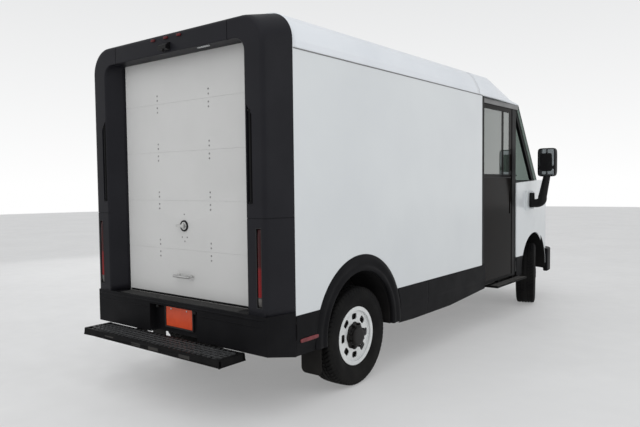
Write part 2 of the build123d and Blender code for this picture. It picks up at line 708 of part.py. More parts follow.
fender_end = front_axle + 520
mirror_x = fender_half + 44
mirror_y = front_axle - 220
with BuildPart() as front_fenders:
    add(nose_shell.part)
    block((0, 1000), (post_front - 1, fender_end), (600, 1700), Mode.INTERSECT)
    block((-1, 760), (post_front - 2, fender_end + 1), (590, 1710), Mode.SUBTRACT)
    with BuildSketch(Plane.YZ.offset(front_well_inner)):
        with Locations((front_axle, front_arch_z)):
            Circle(front_well_radius)
        with Locations((front_axle, front_arch_z - 400)):
            Rectangle(1100, 800, mode=Mode.SUBTRACT)
    extrude(amount=fender_half - nose_wall - front_well_inner)
    with BuildSketch(Plane.YZ.offset(front_well_inner + liner)):
        with Locations((front_axle, front_arch_z)):
            Circle(front_well_radius - liner)
    extrude(amount=fender_half - nose_wall - front_well_inner - liner, mode=Mode.SUBTRACT)
    block((front_well_inner - 1, front_well_inner + liner + 1), (front_axle - 130, front_axle + 130),
          (400, 660), Mode.SUBTRACT)
    block((fender_half - 2, fender_half + 20), (front_axle - 330, front_axle - 110), (1200, 1430))
    rod((mirror_x, mirror_y, 1225), (mirror_x, mirror_y, 1405), 10)
    for z in (1205, 1405):
        block((fender_half + 20, mirror_x + 18), (mirror_y - 20, mirror_y + 20), (z, z + 20))
    mirror(about=Plane.YZ)
save(front_fenders, "front_fenders")

with BuildPart() as front_fascia:
    add(nose_shell.part)
    for side in (-1, 1):
        x = (min(side * 760, side * 1000), max(side * 760, side * 1000))
        block(x, (post_front - 1, fender_end), (590, 1710), Mode.SUBTRACT)
save(front_fascia, "front_fascia")

bumper_front_base = 349
with BuildPart() as front_bumper:
    for wall, mode in ((0, Mode.ADD), (60, Mode.SUBTRACT)):
        with BuildSketch(Plane.XY.offset(bumper_front_base)):
            with BuildLine():
                Polyline((-fender_half + wall, front_axle + 510), (-920 + wall, nose_tip - wall),
                         (920 - wall, nose_tip - wall), (fender_half - wall, front_axle + 510), close=True)
            make_face()
            fillet(vertices().group_by(Axis.Y)[-1], 280 - wall)
        extrude(amount=nose_base - bumper_front_base, mode=mode)
    block((-480, 480), (front_axle + 600, nose_tip - 50), (rail_base + 10, 600))
save(front_bumper, "front_bumper")

with BuildPart() as headlamps:
    block((560, 740), (nose_front, nose_front + 30), (980, 1080))
    mirror(about=Plane.YZ)
save(headlamps, "headlamps")

# ---------------------------------------------------------------- cab interior
column_lean = radians(35)
column_dir = Vector(0, -cos(column_lean), sin(column_lean))
column_foot = Vector(seat_x, front_axle + 60, 1250)
column_top = column_foot + column_dir * 350
pedal_y = front_axle + 20
pedal_pivot_z = 1110
with BuildPart() as dashboard:
    side_plate(((front_axle + 60, 1180), (front_axle + 20, 1330), (front_axle + 90, 1480),
                (front_axle + 330, 1500), (front_axle + 380, 1180)), (-760, 760))
    block((-60, 60), (front_axle + 80, front_axle + 140), (floor_top, 1180))
    for x in (seat_x - 26, seat_x + 186):
        block((x, x + 8), (pedal_y - 6, pedal_y + 80), (pedal_pivot_z - 15, 1200))
    rod((seat_x - 26, pedal_y + 7, pedal_pivot_z), (seat_x + 190, pedal_y + 7, pedal_pivot_z), 6)
    rod(tuple(column_foot), tuple(column_top), 34)
    rod(tuple(column_top), tuple(column_top + column_dir * 40), 10)
save(dashboard, "dashboard")

wheel_centre = column_top + column_dir * 41
with BuildPart() as steering_wheel:
    rim_plane = Plane(origin=wheel_centre, x_dir=(1, 0, 0), z_dir=column_dir)
    with Locations(rim_plane):
        Torus(195, 15)
    with BuildSketch(rim_plane.offset(-24)):
        Circle(48)
    extrude(amount=44)
    for turn in (0, 120, 240):
        spoke = Vector(1, 0, 0).rotate(Axis((0, 0, 0), column_dir), 30 + turn)
        rod(tuple(wheel_centre), tuple(wheel_centre + spoke * 190), 11)
    with BuildSketch(rim_plane.offset(-30)):
        Circle(10 + running_fit)
    extrude(amount=30, mode=Mode.SUBTRACT)
save(steering_wheel, "steering_wheel")

seat_y = front_axle - 920
cushion_z = 1060
with BuildPart() as seat_base:
    block((seat_x - 190, seat_x + 190), (seat_y, seat_y + 400), (floor_top, floor_top + 30))
    block((seat_x - 130, seat_x + 130), (seat_y + 60, seat_y + 340), (floor_top + 30, cushion_z - 24))
    block((seat_x - 220, seat_x + 220), (seat_y - 20, seat_y + 430), (cushion_z - 24, cushion_z))
    side_plate(((seat_y - 20, cushion_z - 24), (seat_y - 20, cushion_z + 100), (seat_y - 110, 1700),
                (seat_y - 134, 1700), (seat_y - 50, cushion_z - 24)), (seat_x - 200, seat_x + 200))
save(seat_base, "seat_base")

with BuildPart() as seat_cushions:
    block((seat_x - 235, seat_x + 235), (seat_y + 85, seat_y + 480), (cushion_z + 0.3, cushion_z + 110))
    side_plate(((seat_y - 19, cushion_z + 5), (seat_y + 84, cushion_z + 5), (seat_y + 60, cushion_z + 240),
                (seat_y - 6, 1790), (seat_y - 109, 1790), (seat_y - 109.7, 1700),
                (seat_y - 19, cushion_z + 100)), (seat_x - 235, seat_x + 235))
save(seat_cushions, "seat_cushions")

for name, x, width in (("brake_pedal", seat_x + 30, 70), ("accelerator_pedal", seat_x + 150, 50)):
    with BuildPart() as pedal:
        block((x - 7, x + 7), (pedal_y, pedal_y + 14), (floor_top + 130, pedal_pivot_z))
        block((x - width / 2, x + width / 2), (pedal_y - 14, pedal_y), (floor_top + 80, floor_top + 160))
        rod((x - 16, pedal_y + 7, pedal_pivot_z), (x + 16, pedal_y + 7, pedal_pivot_z), 14)
        rod((x - 17, pedal_y + 7, pedal_pivot_z), (x + 17, pedal_y + 7, pedal_pivot_z), 6 + running_fit, Mode.SUBTRACT)
    save(pedal, name)

gate_x = (-60, 520)       # walk-through doorway in the bulkhead
gate_top = 2340
bulkhead_y = (panel_end - 6, panel_end + 14)
with BuildPart() as bulkhead:
    block((-860, 860), bulkhead_y, (floor_top, 2600))
    block(gate_x, (bulkhead_y[0] - 1, bulkhead_y[1] + 1), (floor_top - 1, gate_top), Mode.SUBTRACT)
    block((gate_x[0] - 600, gate_x[1] + 20), (bulkhead_y[0] - 50, bulkhead_y[0]),
          (gate_top + 30, gate_top + 70))
    block((gate_x[0] - 600, gate_x[1] + 20), (bulkhead_y[0] - 60, bulkhead_y[0] - 50),
          (gate_top - 40, gate_top + 70))
save(bulkhead, "bulkhead")

with BuildPart() as bulkhead_door:
    block((gate_x[0] - 15, gate_x[1] + 15), (bulkhead_y[0] - 34, bulkhead_y[0] - 10),
          (floor_top + 4, gate_top + 30 - slide_gap))
    block((gate_x[1] - 40, gate_x[1] - 20), (bulkhead_y[0] - 70, bulkhead_y[0] - 34), (1350, 1520))
save(bulkhead_door, "bulkhead_door")

# ---------------------------------------------------------------- roll-up door
for index in range(panel_count):
    base = floor_top + index * panel_pitch + (slide_gap if index == 0 else panel_gap / 2)
    top = floor_top + (index + 1) * panel_pitch - panel_gap / 2
    pin_low = floor_top + index * panel_pitch
    pin_high = floor_top + (index + 1) * panel_pitch
    has_upper = index < panel_count - 1
    with BuildPart() as door_panel:
        block((-panel_half, panel_half), (door_face, door_back), (base, top))
        for side in (-1, 1):
            middle = side * hinge_x
            if has_upper:
                for ear in (middle - hinge_half, middle + hinge_half - ear_width):
                    block((ear, ear + ear_width), (door_back, hinge_line), (pin_high - 60, pin_high))
                    rod((ear, hinge_line, pin_high), (ear + ear_width, hinge_line, pin_high), knuckle_radius)
                rod((middle - hinge_half, hinge_line, pin_high), (middle + hinge_half, hinge_line, pin_high),
                    hinge_pin_radius)
            if index > 0:
                reach = hinge_half - ear_width - 0.5
                block((middle - reach, middle + reach), (door_back, hinge_line), (pin_low, pin_low + 60))
                rod((middle - reach, hinge_line, pin_low), (middle + reach, hinge_line, pin_low),
                    knuckle_radius)
                rod((middle - reach, hinge_line, pin_low), (middle + reach, hinge_line, pin_low),
                    hinge_pin_radius + running_fit, Mode.SUBTRACT)
        if index == 0:
            for x in (-75, 75):
                rod((x, door_face, 873), (x, door_face - 38, 873), 8)
            rod((-90, door_face - 38, 873), (90, door_face - 38, 873), 9)
        if index == 1:
            rod((0, door_face, latch_z), (0, door_face - 8, latch_z), 40)
            rod((0, door_face - 9, latch_z), (0, door_back + 1, latch_z), latch_shaft + running_fit,
                Mode.SUBTRACT)
    save(door_panel, f"rear_door_panel_{index + 1}")

with BuildPart() as latch_handle:
    rod((0, door_face - 34, latch_z), (0, door_back + 14, latch_z), latch_shaft)
    block((-62, 24), (door_face - 34, door_face - 20), (latch_z - 10, latch_z + 10))
    rod((0, door_face - 20, latch_z), (0, door_face - 8.5, latch_z), 20)
    block((-14, 14), (door_back + 4, door_back + 12), (latch_z - 60, latch_z + 14))
save(latch_handle, "latch_handle")

# ---------------------------------------------------------------- mirrors and wipers
with BuildPart() as mirror_right:
    rod((mirror_x, mirror_y, 1226), (mirror_x, mirror_y, 1404), 22)
    block((mirror_x, mirror_x + 130), (mirror_y - 22, mirror_y + 22), (1250, 1310))
    rod((mirror_x + 120, mirror_y, 1280), (mirror_x + 190, mirror_y, 1620), 24)
    block((mirror_x + 75, mirror_x + 290), (mirror_y - 45, mirror_y + 45), (1600, 1940))
    fillet(mirror_right.edges().group_by(Axis.Z)[-1], 18)
    rod((mirror_x, mirror_y, 1225), (mirror_x, mirror_y, 1405), 10 + running_fit, Mode.SUBTRACT)
save(mirror_right, "mirror_right")
save_mirrored(mirror_right, "mirror_left")

screen_radius = (cab_half ** 2 + screen_bulge ** 2) / (2 * screen_bulge)
blade_reach = 300         # spindle to the middle of the blade
blade_lift = 8            # blade above the glass
for name, spindle_x in (("wiper_left", -620), ("wiper_right", 20)):
    middle_x = spindle_x + blade_reach
    middle_y = (screen_radius ** 2 - middle_x ** 2) ** 0.5
    outward = (screen_plane.x_dir * middle_x + screen_plane.y_dir * middle_y).normalized()
    along = outward.cross(screen_plane.z_dir)
    touch = (screen_plane.origin + screen_plane.x_dir * middle_x
             + screen_plane.y_dir * (screen_bulge - screen_radius + middle_y))
    touch = touch + screen_plane.z_dir * ((cowl_z + 90 - touch.Z) / screen_plane.z_dir.Z)
    wiper_plane = Plane(origin=touch + outward * blade_lift - along * blade_reach, x_dir=along, z_dir=outward)
    spindle = blade_lift + blade_reach ** 2 / (2 * screen_radius) - 3.4
    with BuildPart() as wiper:
        with BuildSketch(wiper_plane.offset(-spindle)):
            Circle(16)
        extrude(amount=spindle + 24)
        with BuildSketch(wiper_plane.offset(12)):
            with Locations((blade_reach / 2, 0)):
                Rectangle(blade_reach, 14)
        extrude(amount=8)
        with BuildSketch(wiper_plane):
            with Locations((blade_reach, 0)):
                Rectangle(2 * blade_reach - 60, 12)
        extrude(amount=13)
    save(wiper, name)
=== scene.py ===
"""Looks for an electric walk-in mail delivery truck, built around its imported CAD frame.

Metres, +Z up, +Y forward, +X to the truck's right, origin on the ground at mid-length.
"""

import json
import logging
import math
from dataclasses import dataclass
from enum import Enum
from typing import Callable, Iterable, Sequence

import bmesh
import bpy
import numpy as np
from mathutils import Matrix, Vector

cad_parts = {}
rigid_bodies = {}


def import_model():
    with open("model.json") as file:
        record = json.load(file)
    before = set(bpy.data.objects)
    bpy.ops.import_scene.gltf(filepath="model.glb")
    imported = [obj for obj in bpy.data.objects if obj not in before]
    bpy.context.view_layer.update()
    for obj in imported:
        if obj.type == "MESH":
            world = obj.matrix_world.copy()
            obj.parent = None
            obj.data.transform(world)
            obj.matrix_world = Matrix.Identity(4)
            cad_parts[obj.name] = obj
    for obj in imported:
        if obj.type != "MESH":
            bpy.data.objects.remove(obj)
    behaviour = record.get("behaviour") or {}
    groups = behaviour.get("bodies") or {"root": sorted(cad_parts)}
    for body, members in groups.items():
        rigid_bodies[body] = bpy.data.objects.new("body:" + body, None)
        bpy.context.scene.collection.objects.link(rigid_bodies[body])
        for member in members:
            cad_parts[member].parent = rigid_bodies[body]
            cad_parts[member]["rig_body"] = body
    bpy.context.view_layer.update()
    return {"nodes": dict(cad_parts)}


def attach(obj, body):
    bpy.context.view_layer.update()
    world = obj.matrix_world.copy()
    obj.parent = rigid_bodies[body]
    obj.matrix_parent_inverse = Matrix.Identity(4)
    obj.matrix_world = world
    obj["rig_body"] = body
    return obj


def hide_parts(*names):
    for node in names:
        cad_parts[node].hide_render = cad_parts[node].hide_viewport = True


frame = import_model()
LOG = logging.getLogger("delivery_truck")
Point = Sequence[float]
BODY = "truck_body"
MM = 0.001


def linear(red: int, green: int, blue: int) -> tuple[float, float, float]:
    """Linear colour from 0-255 display values."""
    def channel(value: int) -> float:
        share = value / 255
        return share / 12.92 if share <= 0.04045 else ((share + 0.055) / 1.055) ** 2.4
    return channel(red), channel(green), channel(blue)


# ------------------------------------------------------------------ finishes
class Grain(Enum):
    """Relief of a finish."""

    SPRAYED = "sprayed"
    MOULDED = "moulded"
    BRUSHED = "brushed"
    WOVEN = "woven"
    CAST = "cast"
    CLEAR = "clear"


@dataclass(frozen=True)
class Finish:
    """A surface finish and the node material that shows it.

    The colour drifts between two tones by fractal noise, roughness follows a second noise,
    and the grain's own pattern lifts the surface. Road dust fades in below dust_top.
    """

    label: str
    tone: tuple[float, float, float]
    drift: tuple[float, float, float]
    patch: float = 2.5
    rough: tuple[float, float] = (0.4, 0.5)
    grain: Grain = Grain.SPRAYED
    pitch: float = 350.0
    relief: float = 0.08
    metal: float = 0.0
    coat: float = 0.0
    coat_rough: float = 0.1
    see_through: float = 0.0
    sheen: float = 0.0
    level: float = 0.5
    dust: float = 0.0
    dust_top: float = 0.9
    glow: float = 0.0

    def material(self) -> bpy.types.Material:
        """The finish's material, made once."""
        found = bpy.data.materials.get(self.label)
        if found:
            return found
        made = bpy.data.materials.new(self.label)
        made.use_nodes = True
        tree = made.node_tree
        shader = tree.nodes["Principled BSDF"]
        place = tree.nodes.new("ShaderNodeTexCoord").outputs["Object"]
        shader.inputs["Metallic"].default_value = self.metal
        shader.inputs["Coat Weight"].default_value = self.coat
        shader.inputs["Coat Roughness"].default_value = self.coat_rough
        shader.inputs["Transmission Weight"].default_value = self.see_through
        shader.inputs["Sheen Weight"].default_value = self.sheen
        shader.inputs["Specular IOR Level"].default_value = self.level
        if self.glow:
            shader.inputs["Emission Color"].default_value = (*self.tone, 1)
            shader.inputs["Emission Strength"].default_value = self.glow
        colour = self._tones(tree, place)
        if self.dust:
            colour = self._dusty(tree, place, colour)
        tree.links.new(colour, shader.inputs["Base Color"])
        tree.links.new(self._roughness(tree, place), shader.inputs["Roughness"])
        if self.relief:
            lift = tree.nodes.new("ShaderNodeBump")
            lift.inputs["Strength"].default_value = self.relief
            lift.inputs["Distance"].default_value = 0.001
            tree.links.new(self._height(tree, place), lift.inputs["Height"])
            tree.links.new(lift.outputs["Normal"], shader.inputs["Normal"])
        return made

    def _noise(self, tree: bpy.types.NodeTree, place: bpy.types.NodeSocket, scale: float,
               detail: float = 3.0) -> bpy.types.NodeSocket:
        """Fractal noise of a given scale."""
        noise = tree.nodes.new("ShaderNodeTexNoise")
        noise.inputs["Scale"].default_value = scale
        noise.inputs["Detail"].default_value = detail
        tree.links.new(place, noise.inputs["Vector"])
        return noise.outputs["Fac"]

    def _tones(self, tree: bpy.types.NodeTree, place: bpy.types.NodeSocket) -> bpy.types.NodeSocket:
        """The two tones, mixed by noise through a soft ramp."""
        ramp = tree.nodes.new("ShaderNodeValToRGB")
        ramp.color_ramp.elements[0].position = 0.35
        ramp.color_ramp.elements[0].color = (*self.tone, 1)
        ramp.color_ramp.elements[1].position = 0.7
        ramp.color_ramp.elements[1].color = (*self.drift, 1)
        tree.links.new(self._noise(tree, place, self.patch, 6.0), ramp.inputs["Fac"])
        return ramp.outputs["Color"]

    def _dusty(self, tree: bpy.types.NodeTree, place: bpy.types.NodeSocket,
               colour: bpy.types.NodeSocket) -> bpy.types.NodeSocket:
        """Colour with road dust: more towards the ground, broken up by noise."""
        split = tree.nodes.new("ShaderNodeSeparateXYZ")
        tree.links.new(place, split.inputs["Vector"])
        height = tree.nodes.new("ShaderNodeMapRange")
        height.inputs["From Min"].default_value = 0.0
        height.inputs["From Max"].default_value = self.dust_top
        height.inputs["To Min"].default_value = self.dust
        height.inputs["To Max"].default_value = 0.0
        tree.links.new(split.outputs["Z"], height.inputs["Value"])
        broken = tree.nodes.new("ShaderNodeMath")
        broken.operation = "MULTIPLY"
        tree.links.new(height.outputs["Result"], broken.inputs[0])
        tree.links.new(self._noise(tree, place, 9.0, 8.0), broken.inputs[1])
        mix = tree.nodes.new("ShaderNodeMix")
        mix.data_type = "RGBA"
        mix.inputs["B"].default_value = (*linear(150, 143, 132), 1)
        tree.links.new(broken.outputs["Value"], mix.inputs["Factor"])
        tree.links.new(colour, mix.inputs["A"])
        return mix.outputs["Result"]

    def _roughness(self, tree: bpy.types.NodeTree,
                   place: bpy.types.NodeSocket) -> bpy.types.NodeSocket:
        """Roughness between the finish's two limits, by smeared noise."""
        spread = tree.nodes.new("ShaderNodeMapRange")
        spread.inputs["From Min"].default_value = 0.3
        spread.inputs["From Max"].default_value = 0.7
        spread.inputs["To Min"].default_value = self.rough[0]
        spread.inputs["To Max"].default_value = self.rough[1]
        tree.links.new(self._noise(tree, place, 5.0, 7.0), spread.inputs["Value"])
        return spread.outputs["Result"]

    def _height(self, tree: bpy.types.NodeTree,
                place: bpy.types.NodeSocket) -> bpy.types.NodeSocket:
        """Relief pattern of the grain."""
        if self.grain is Grain.MOULDED:
            cells = tree.nodes.new("ShaderNodeTexVoronoi")
            cells.inputs["Scale"].default_value = self.pitch
            tree.links.new(place, cells.inputs["Vector"])
            return cells.outputs["Distance"]
        if self.grain is Grain.BRUSHED:
            stretch = tree.nodes.new("ShaderNodeMapping")
            stretch.inputs["Scale"].default_value = (0.04, 1.0, 1.0)
            tree.links.new(place, stretch.inputs["Vector"])
            return self._noise(tree, stretch.outputs["Vector"], self.pitch)
        if self.grain is Grain.WOVEN:
            threads = []
            for direction in ("X", "Z"):
                wave = tree.nodes.new("ShaderNodeTexWave")
                wave.bands_direction = direction
                wave.inputs["Scale"].default_value = self.pitch
                wave.inputs["Distortion"].default_value = 0.6
                tree.links.new(place, wave.inputs["Vector"])
                threads.append(wave.outputs["Fac"])
            weave = tree.nodes.new("ShaderNodeMath")
            weave.operation = "MAXIMUM"
            tree.links.new(threads[0], weave.inputs[0])
            tree.links.new(threads[1], weave.inputs[1])
            return weave.outputs["Value"]
        if self.grain is Grain.CAST:
            return self._noise(tree, place, self.pitch, 9.0)
        return self._noise(tree, place, self.pitch, 2.0)


@dataclass(frozen=True)
class LampLens(Finish):
    """Lens whose colour changes up its height in bands, with vertical ribs moulded in."""

    bands: tuple[tuple[float, tuple[float, float, float]], ...] = ()

    def _tones(self, tree: bpy.types.NodeTree, place: bpy.types.NodeSocket) -> bpy.types.NodeSocket:
        """Colour by height: bands of (height in metres, colour), from the lowest up."""
        split = tree.nodes.new("ShaderNodeSeparateXYZ")
        tree.links.new(place, split.inputs["Vector"])
        low, high = self.bands[0][0], self.bands[-1][0]
        share = tree.nodes.new("ShaderNodeMapRange")
        share.inputs["From Min"].default_value = low
        share.inputs["From Max"].default_value = high
        tree.links.new(split.outputs["Z"], share.inputs["Value"])
        ramp = tree.nodes.new("ShaderNodeValToRGB")
        ramp.color_ramp.interpolation = "EASE"
        stops = ramp.color_ramp.elements
        stops[0].position, stops[0].color = 0.0, (*self.bands[0][1], 1)
        stops[1].position, stops[1].color = 1.0, (*self.bands[-1][1], 1)
        for height, colour in self.bands[1:-1]:
            stops.new((height - low) / (high - low)).color = (*colour, 1)
        tree.links.new(share.outputs["Result"], ramp.inputs["Fac"])
        return ramp.outputs["Color"]


BODY_WHITE = Finish("body_white_paint", linear(211, 215, 217), linear(205, 209, 212), 1.2,
                    (0.3, 0.4), Grain.SPRAYED, 900, 0.03, coat=0.6, coat_rough=0.14, dust=0.1)
ROOF_WHITE = Finish("roof_white_gelcoat", linear(222, 226, 231), linear(212, 217, 223), 1.5,
                    (0.34, 0.46), Grain.SPRAYED, 500, 0.04, coat=0.4)
DOOR_WHITE = Finish("roll_door_paint", linear(203, 203, 202), linear(197, 197, 196), 1.8,
                    (0.42, 0.55), Grain.SPRAYED, 700, 0.05, dust=0.12, dust_top=1.2)
TRIM_PLASTIC = Finish("charcoal_moulded_plastic", linear(20, 20, 22), linear(25, 25, 27), 6,
                      (0.42, 0.52), Grain.MOULDED, 520, 0.1, level=0.05, dust=0.01)
SURROUND_SKIN = Finish("surround_satin_plastic", linear(30, 30, 34), linear(35, 35, 39), 2.2,
                       (0.38, 0.47), Grain.MOULDED, 620, 0.06, level=0.09, dust=0.01,
                       dust_top=1.3)
SEAM_BLACK = Finish("seam_shadow_rubber", linear(14, 14, 15), linear(20, 20, 21), 8, (0.7, 0.8),
                    Grain.CAST, 400, 0.1)
GLOSS_BLACK = Finish("gloss_black_door", linear(16, 14, 13), linear(24, 20, 18), 1.4,
                     (0.08, 0.13), Grain.SPRAYED, 700, 0.012, level=0.035)
POST_BLACK = Finish("satin_black_post", linear(14, 14, 15), linear(20, 20, 21), 4, (0.32, 0.42),
                    Grain.SPRAYED, 800, 0.04, level=0.08)
# Painted shade: the door header band is white body paint in shade, given here as mid grey. The drip
# rails use the same grey.
HEADER_SHADE_GREY = Finish("door_header_painted_shade_grey", linear(128, 128, 128), linear(112, 112, 113), 3,
                     (0.38, 0.5), Grain.BRUSHED, 900, 0.05, metal=0.3)
STEP_BLACK = Finish("step_powder_coat", linear(14, 14, 15), linear(21, 21, 22), 9, (0.5, 0.65),
                    Grain.CAST, 420, 0.18, level=0.06, dust=0.02, dust_top=0.8)
TREAD_WORN = Finish("step_worn_tread", linear(64, 65, 67), linear(50, 51, 52), 24, (0.45, 0.6),
                    Grain.CAST, 520, 0.2, level=0.3, dust=0.08, dust_top=0.8)
GRIP_BLACK = Finish("grip_strip", linear(46, 46, 47), linear(58, 58, 58), 30, (0.75, 0.9),
                    Grain.CAST, 900, 0.5, dust=0.3)
CHASSIS_BLACK = Finish("chassis_enamel", linear(22, 22, 23), linear(30, 29, 29), 5, (0.45, 0.65),
                       Grain.CAST, 160, 0.15, level=0.2, dust=0.22, dust_top=0.8)
BATTERY_GREY = Finish("battery_case_aluminium", linear(66, 67, 70), linear(54, 55, 58), 3,
                      (0.42, 0.58), Grain.CAST, 220, 0.12, metal=0.6, dust=0.5, dust_top=0.7)
CARGO_DECK = Finish("cargo_deck_coating", linear(88, 86, 83), linear(70, 69, 67), 14, (0.6, 0.8),
                    Grain.CAST, 320, 0.35, dust=0.2, dust_top=0.9)
SPRING_STEEL = Finish("spring_steel_paint", linear(38, 37, 37), linear(52, 47, 44), 12,
                      (0.5, 0.7), Grain.CAST, 200, 0.2, metal=0.4, dust=0.5)
CAST_IRON = Finish("cast_iron_parts", linear(60, 58, 56), linear(46, 44, 43), 14, (0.55, 0.75),
                   Grain.CAST, 260, 0.3, metal=0.5, dust=0.5)
TRACK_STEEL = Finish("galvanised_track", linear(150, 152, 155), linear(122, 125, 129), 16,
                     (0.35, 0.55), Grain.CAST, 300, 0.08, metal=0.9)
HANDLE_STEEL = Finish("zinc_handle", linear(205, 205, 203), linear(178, 178, 177), 12,
                      (0.28, 0.4), Grain.BRUSHED, 900, 0.06, metal=0.85)
BOLT_GREY = Finish("painted_bolt", linear(150, 150, 149), linear(120, 120, 120), 40, (0.4, 0.6),
                   Grain.CAST, 900, 0.1, metal=0.3)
TYRE_RUBBER = Finish("treaded_tyre_rubber", linear(19, 19, 20), linear(25, 25, 25), 9,
                     (0.6, 0.75), Grain.CAST, 300, 0.2, level=0.06, dust=0.03, dust_top=0.8)
FLAP_RUBBER = Finish("mud_flap_rubber", linear(16, 16, 17), linear(25, 24, 24), 7, (0.7, 0.85),
                     Grain.CAST, 120, 0.15, level=0.15, dust=0.08, dust_top=0.6)
WHEEL_SILVER = Finish("wheel_silver_paint", linear(222, 224, 224), linear(208, 211, 211), 8,
                      (0.3, 0.42), Grain.SPRAYED, 1100, 0.05, metal=0.15, coat=0.3, dust=0.06,
                      dust_top=0.6)
HUB_BLACK = Finish("hub_cap_black", linear(13, 13, 14), linear(20, 19, 19), 10, (0.3, 0.45),
                   Grain.CAST, 500, 0.08, level=0.2, dust=0.03)
WINDSCREEN = Finish("windscreen_glass", linear(128, 140, 134), linear(118, 131, 125), 0.8,
                    (0.02, 0.04), Grain.CLEAR, 1, 0.0, see_through=0.92, coat=0.3,
                    coat_rough=0.02)
PRIVACY_GLASS = Finish("side_window_glass", linear(118, 130, 122), linear(104, 117, 110), 0.9,
                       (0.02, 0.05), Grain.CLEAR, 1, 0.0, see_through=0.72, coat=1.0,
                       coat_rough=0.02)
MIRROR_FACE = Finish("mirror_silvering", linear(172, 178, 182), linear(160, 167, 172), 3,
                     (0.03, 0.06), Grain.CLEAR, 1, 0.0, metal=1.0)
TAIL_RED = LampLens("tail_lamp_lens", linear(120, 12, 12), linear(140, 16, 14), 20, (0.16, 0.24),
                    Grain.CAST, 300, 0.05, level=0.22,
                    bands=((0.756, linear(70, 68, 66)), (0.818, linear(96, 93, 90)),
                           (0.828, linear(120, 14, 16)), (1.0, linear(112, 10, 14)),
                           (1.03, linear(60, 8, 10)), (1.271, linear(46, 9, 12))))
MARKER_RED = Finish("marker_red_lens", linear(88, 18, 24), linear(70, 14, 18), 40, (0.15, 0.3),
                    Grain.CAST, 600, 0.08, level=0.2)
SIDE_RED = Finish("side_marker_lens", linear(126, 56, 60), linear(92, 36, 40), 14, (0.2, 0.35),
                  Grain.CAST, 500, 0.1, level=0.3)
AMBER_LENS = Finish("amber_marker_lens", linear(206, 104, 22), linear(182, 84, 16), 40,
                    (0.15, 0.3), Grain.CAST, 600, 0.08, coat=0.8)
CLEAR_LENS = Finish("clear_lamp_lens", linear(222, 224, 226), linear(206, 210, 214), 12,
                    (0.08, 0.16), Grain.CAST, 500, 0.05, see_through=0.5, coat=0.8)
PLATE_ORANGE = Finish("plate_orange_enamel", linear(226, 78, 22), linear(214, 68, 16), 12,
                      (0.4, 0.5), Grain.SPRAYED, 700, 0.06, coat=0.2)
FRAME_BLACK = Finish("plate_frame_black", linear(18, 18, 19), linear(26, 26, 27), 12, (0.45, 0.6),
                     Grain.MOULDED, 900, 0.1)
CAMERA_BLACK = Finish("camera_housing", linear(15, 15, 16), linear(22, 22, 23), 14, (0.4, 0.55),
                      Grain.MOULDED, 800, 0.08, level=0.18)
DASH_PLASTIC = Finish("dash_soft_plastic", linear(38, 39, 42), linear(45, 46, 48), 5, (0.6, 0.72),
                      Grain.MOULDED, 480, 0.2)
SEAT_SHELL = Finish("seat_shell_plastic", linear(34, 35, 37), linear(41, 42, 44), 6, (0.5, 0.62),
                    Grain.MOULDED, 500, 0.15)
SEAT_CLOTH = Finish("seat_woven_cloth", linear(58, 60, 64), linear(42, 44, 48), 26, (0.85, 0.95),
                    Grain.WOVEN, 260, 0.55, sheen=0.35)
BULKHEAD_GREY = Finish("bulkhead_grey_paint", linear(150, 152, 154), linear(138, 141, 143), 2,
                       (0.45, 0.6), Grain.SPRAYED, 600, 0.08)
WHEEL_RIM_GRIP = Finish("steering_rim_grip", linear(26, 26, 27), linear(34, 34, 35), 14,
                        (0.5, 0.6), Grain.MOULDED, 700, 0.25)


# ------------------------------------------------------------------ mesh tools
@dataclass
class Surface:
    """Vertices and faces of a mesh in the making."""

    points: np.ndarray
    faces: list[tuple[int, ...]]

    @classmethod
    def grid(cls, points: np.ndarray, wrap_rows: bool = False, wrap_columns: bool = False,
             caps: bool = False) -> "Surface":
        """Quads over a (rows, columns, 3) grid of points.

        Args:
            points: The grid.
            wrap_rows: The last row joins the first.
            wrap_columns: The last column joins the first.
            caps: Close the first and last rows with one face each.

        Returns:
            The surface.
        """
        rows, columns = points.shape[:2]
        index = np.arange(rows * columns).reshape(rows, columns)
        if wrap_rows:
            index = np.vstack([index, index[:1]])
        if wrap_columns:
            index = np.hstack([index, index[:, :1]])
        quads = np.stack([index[:-1, :-1], index[:-1, 1:], index[1:, 1:], index[1:, :-1]],
                         axis=-1).reshape(-1, 4)
        faces = [tuple(quad) for quad in quads.tolist()]
        if caps:
            faces.append(tuple(reversed(index[0, :columns].tolist())))
            faces.append(tuple(index[rows - 1, :columns].tolist()))
        return cls(points.reshape(-1, 3), faces)

    @classmethod
    def join(cls, parts: Iterable["Surface"]) -> "Surface":
        """Several surfaces as one."""
        points, faces, start = [], [], 0
        for part in parts:
            points.append(part.points)
            faces += [tuple(corner + start for corner in face) for face in part.faces]
            start += len(part.points)
        return cls(np.vstack(points), faces)

    def moved(self, offset: Point) -> "Surface":
        """The surface, shifted."""
        return Surface(self.points + np.asarray(offset, float), self.faces)

    def mirrored(self) -> "Surface":
        """The surface on the other side of the truck, faces turned back to point outwards."""
        return Surface(self.points * np.array([-1.0, 1.0, 1.0]),
                       [tuple(reversed(face)) for face in self.faces])

    def both_sides(self) -> "Surface":
        """The surface and its mirror image."""
        return Surface.join([self, self.mirrored()])

    def seen_from(self, axes: np.ndarray, origin: Point) -> "Surface":
        """The surface carried from its own axes to the truck's: origin + point times axes."""
        return Surface(self.points @ axes + np.asarray(origin, float), self.faces)


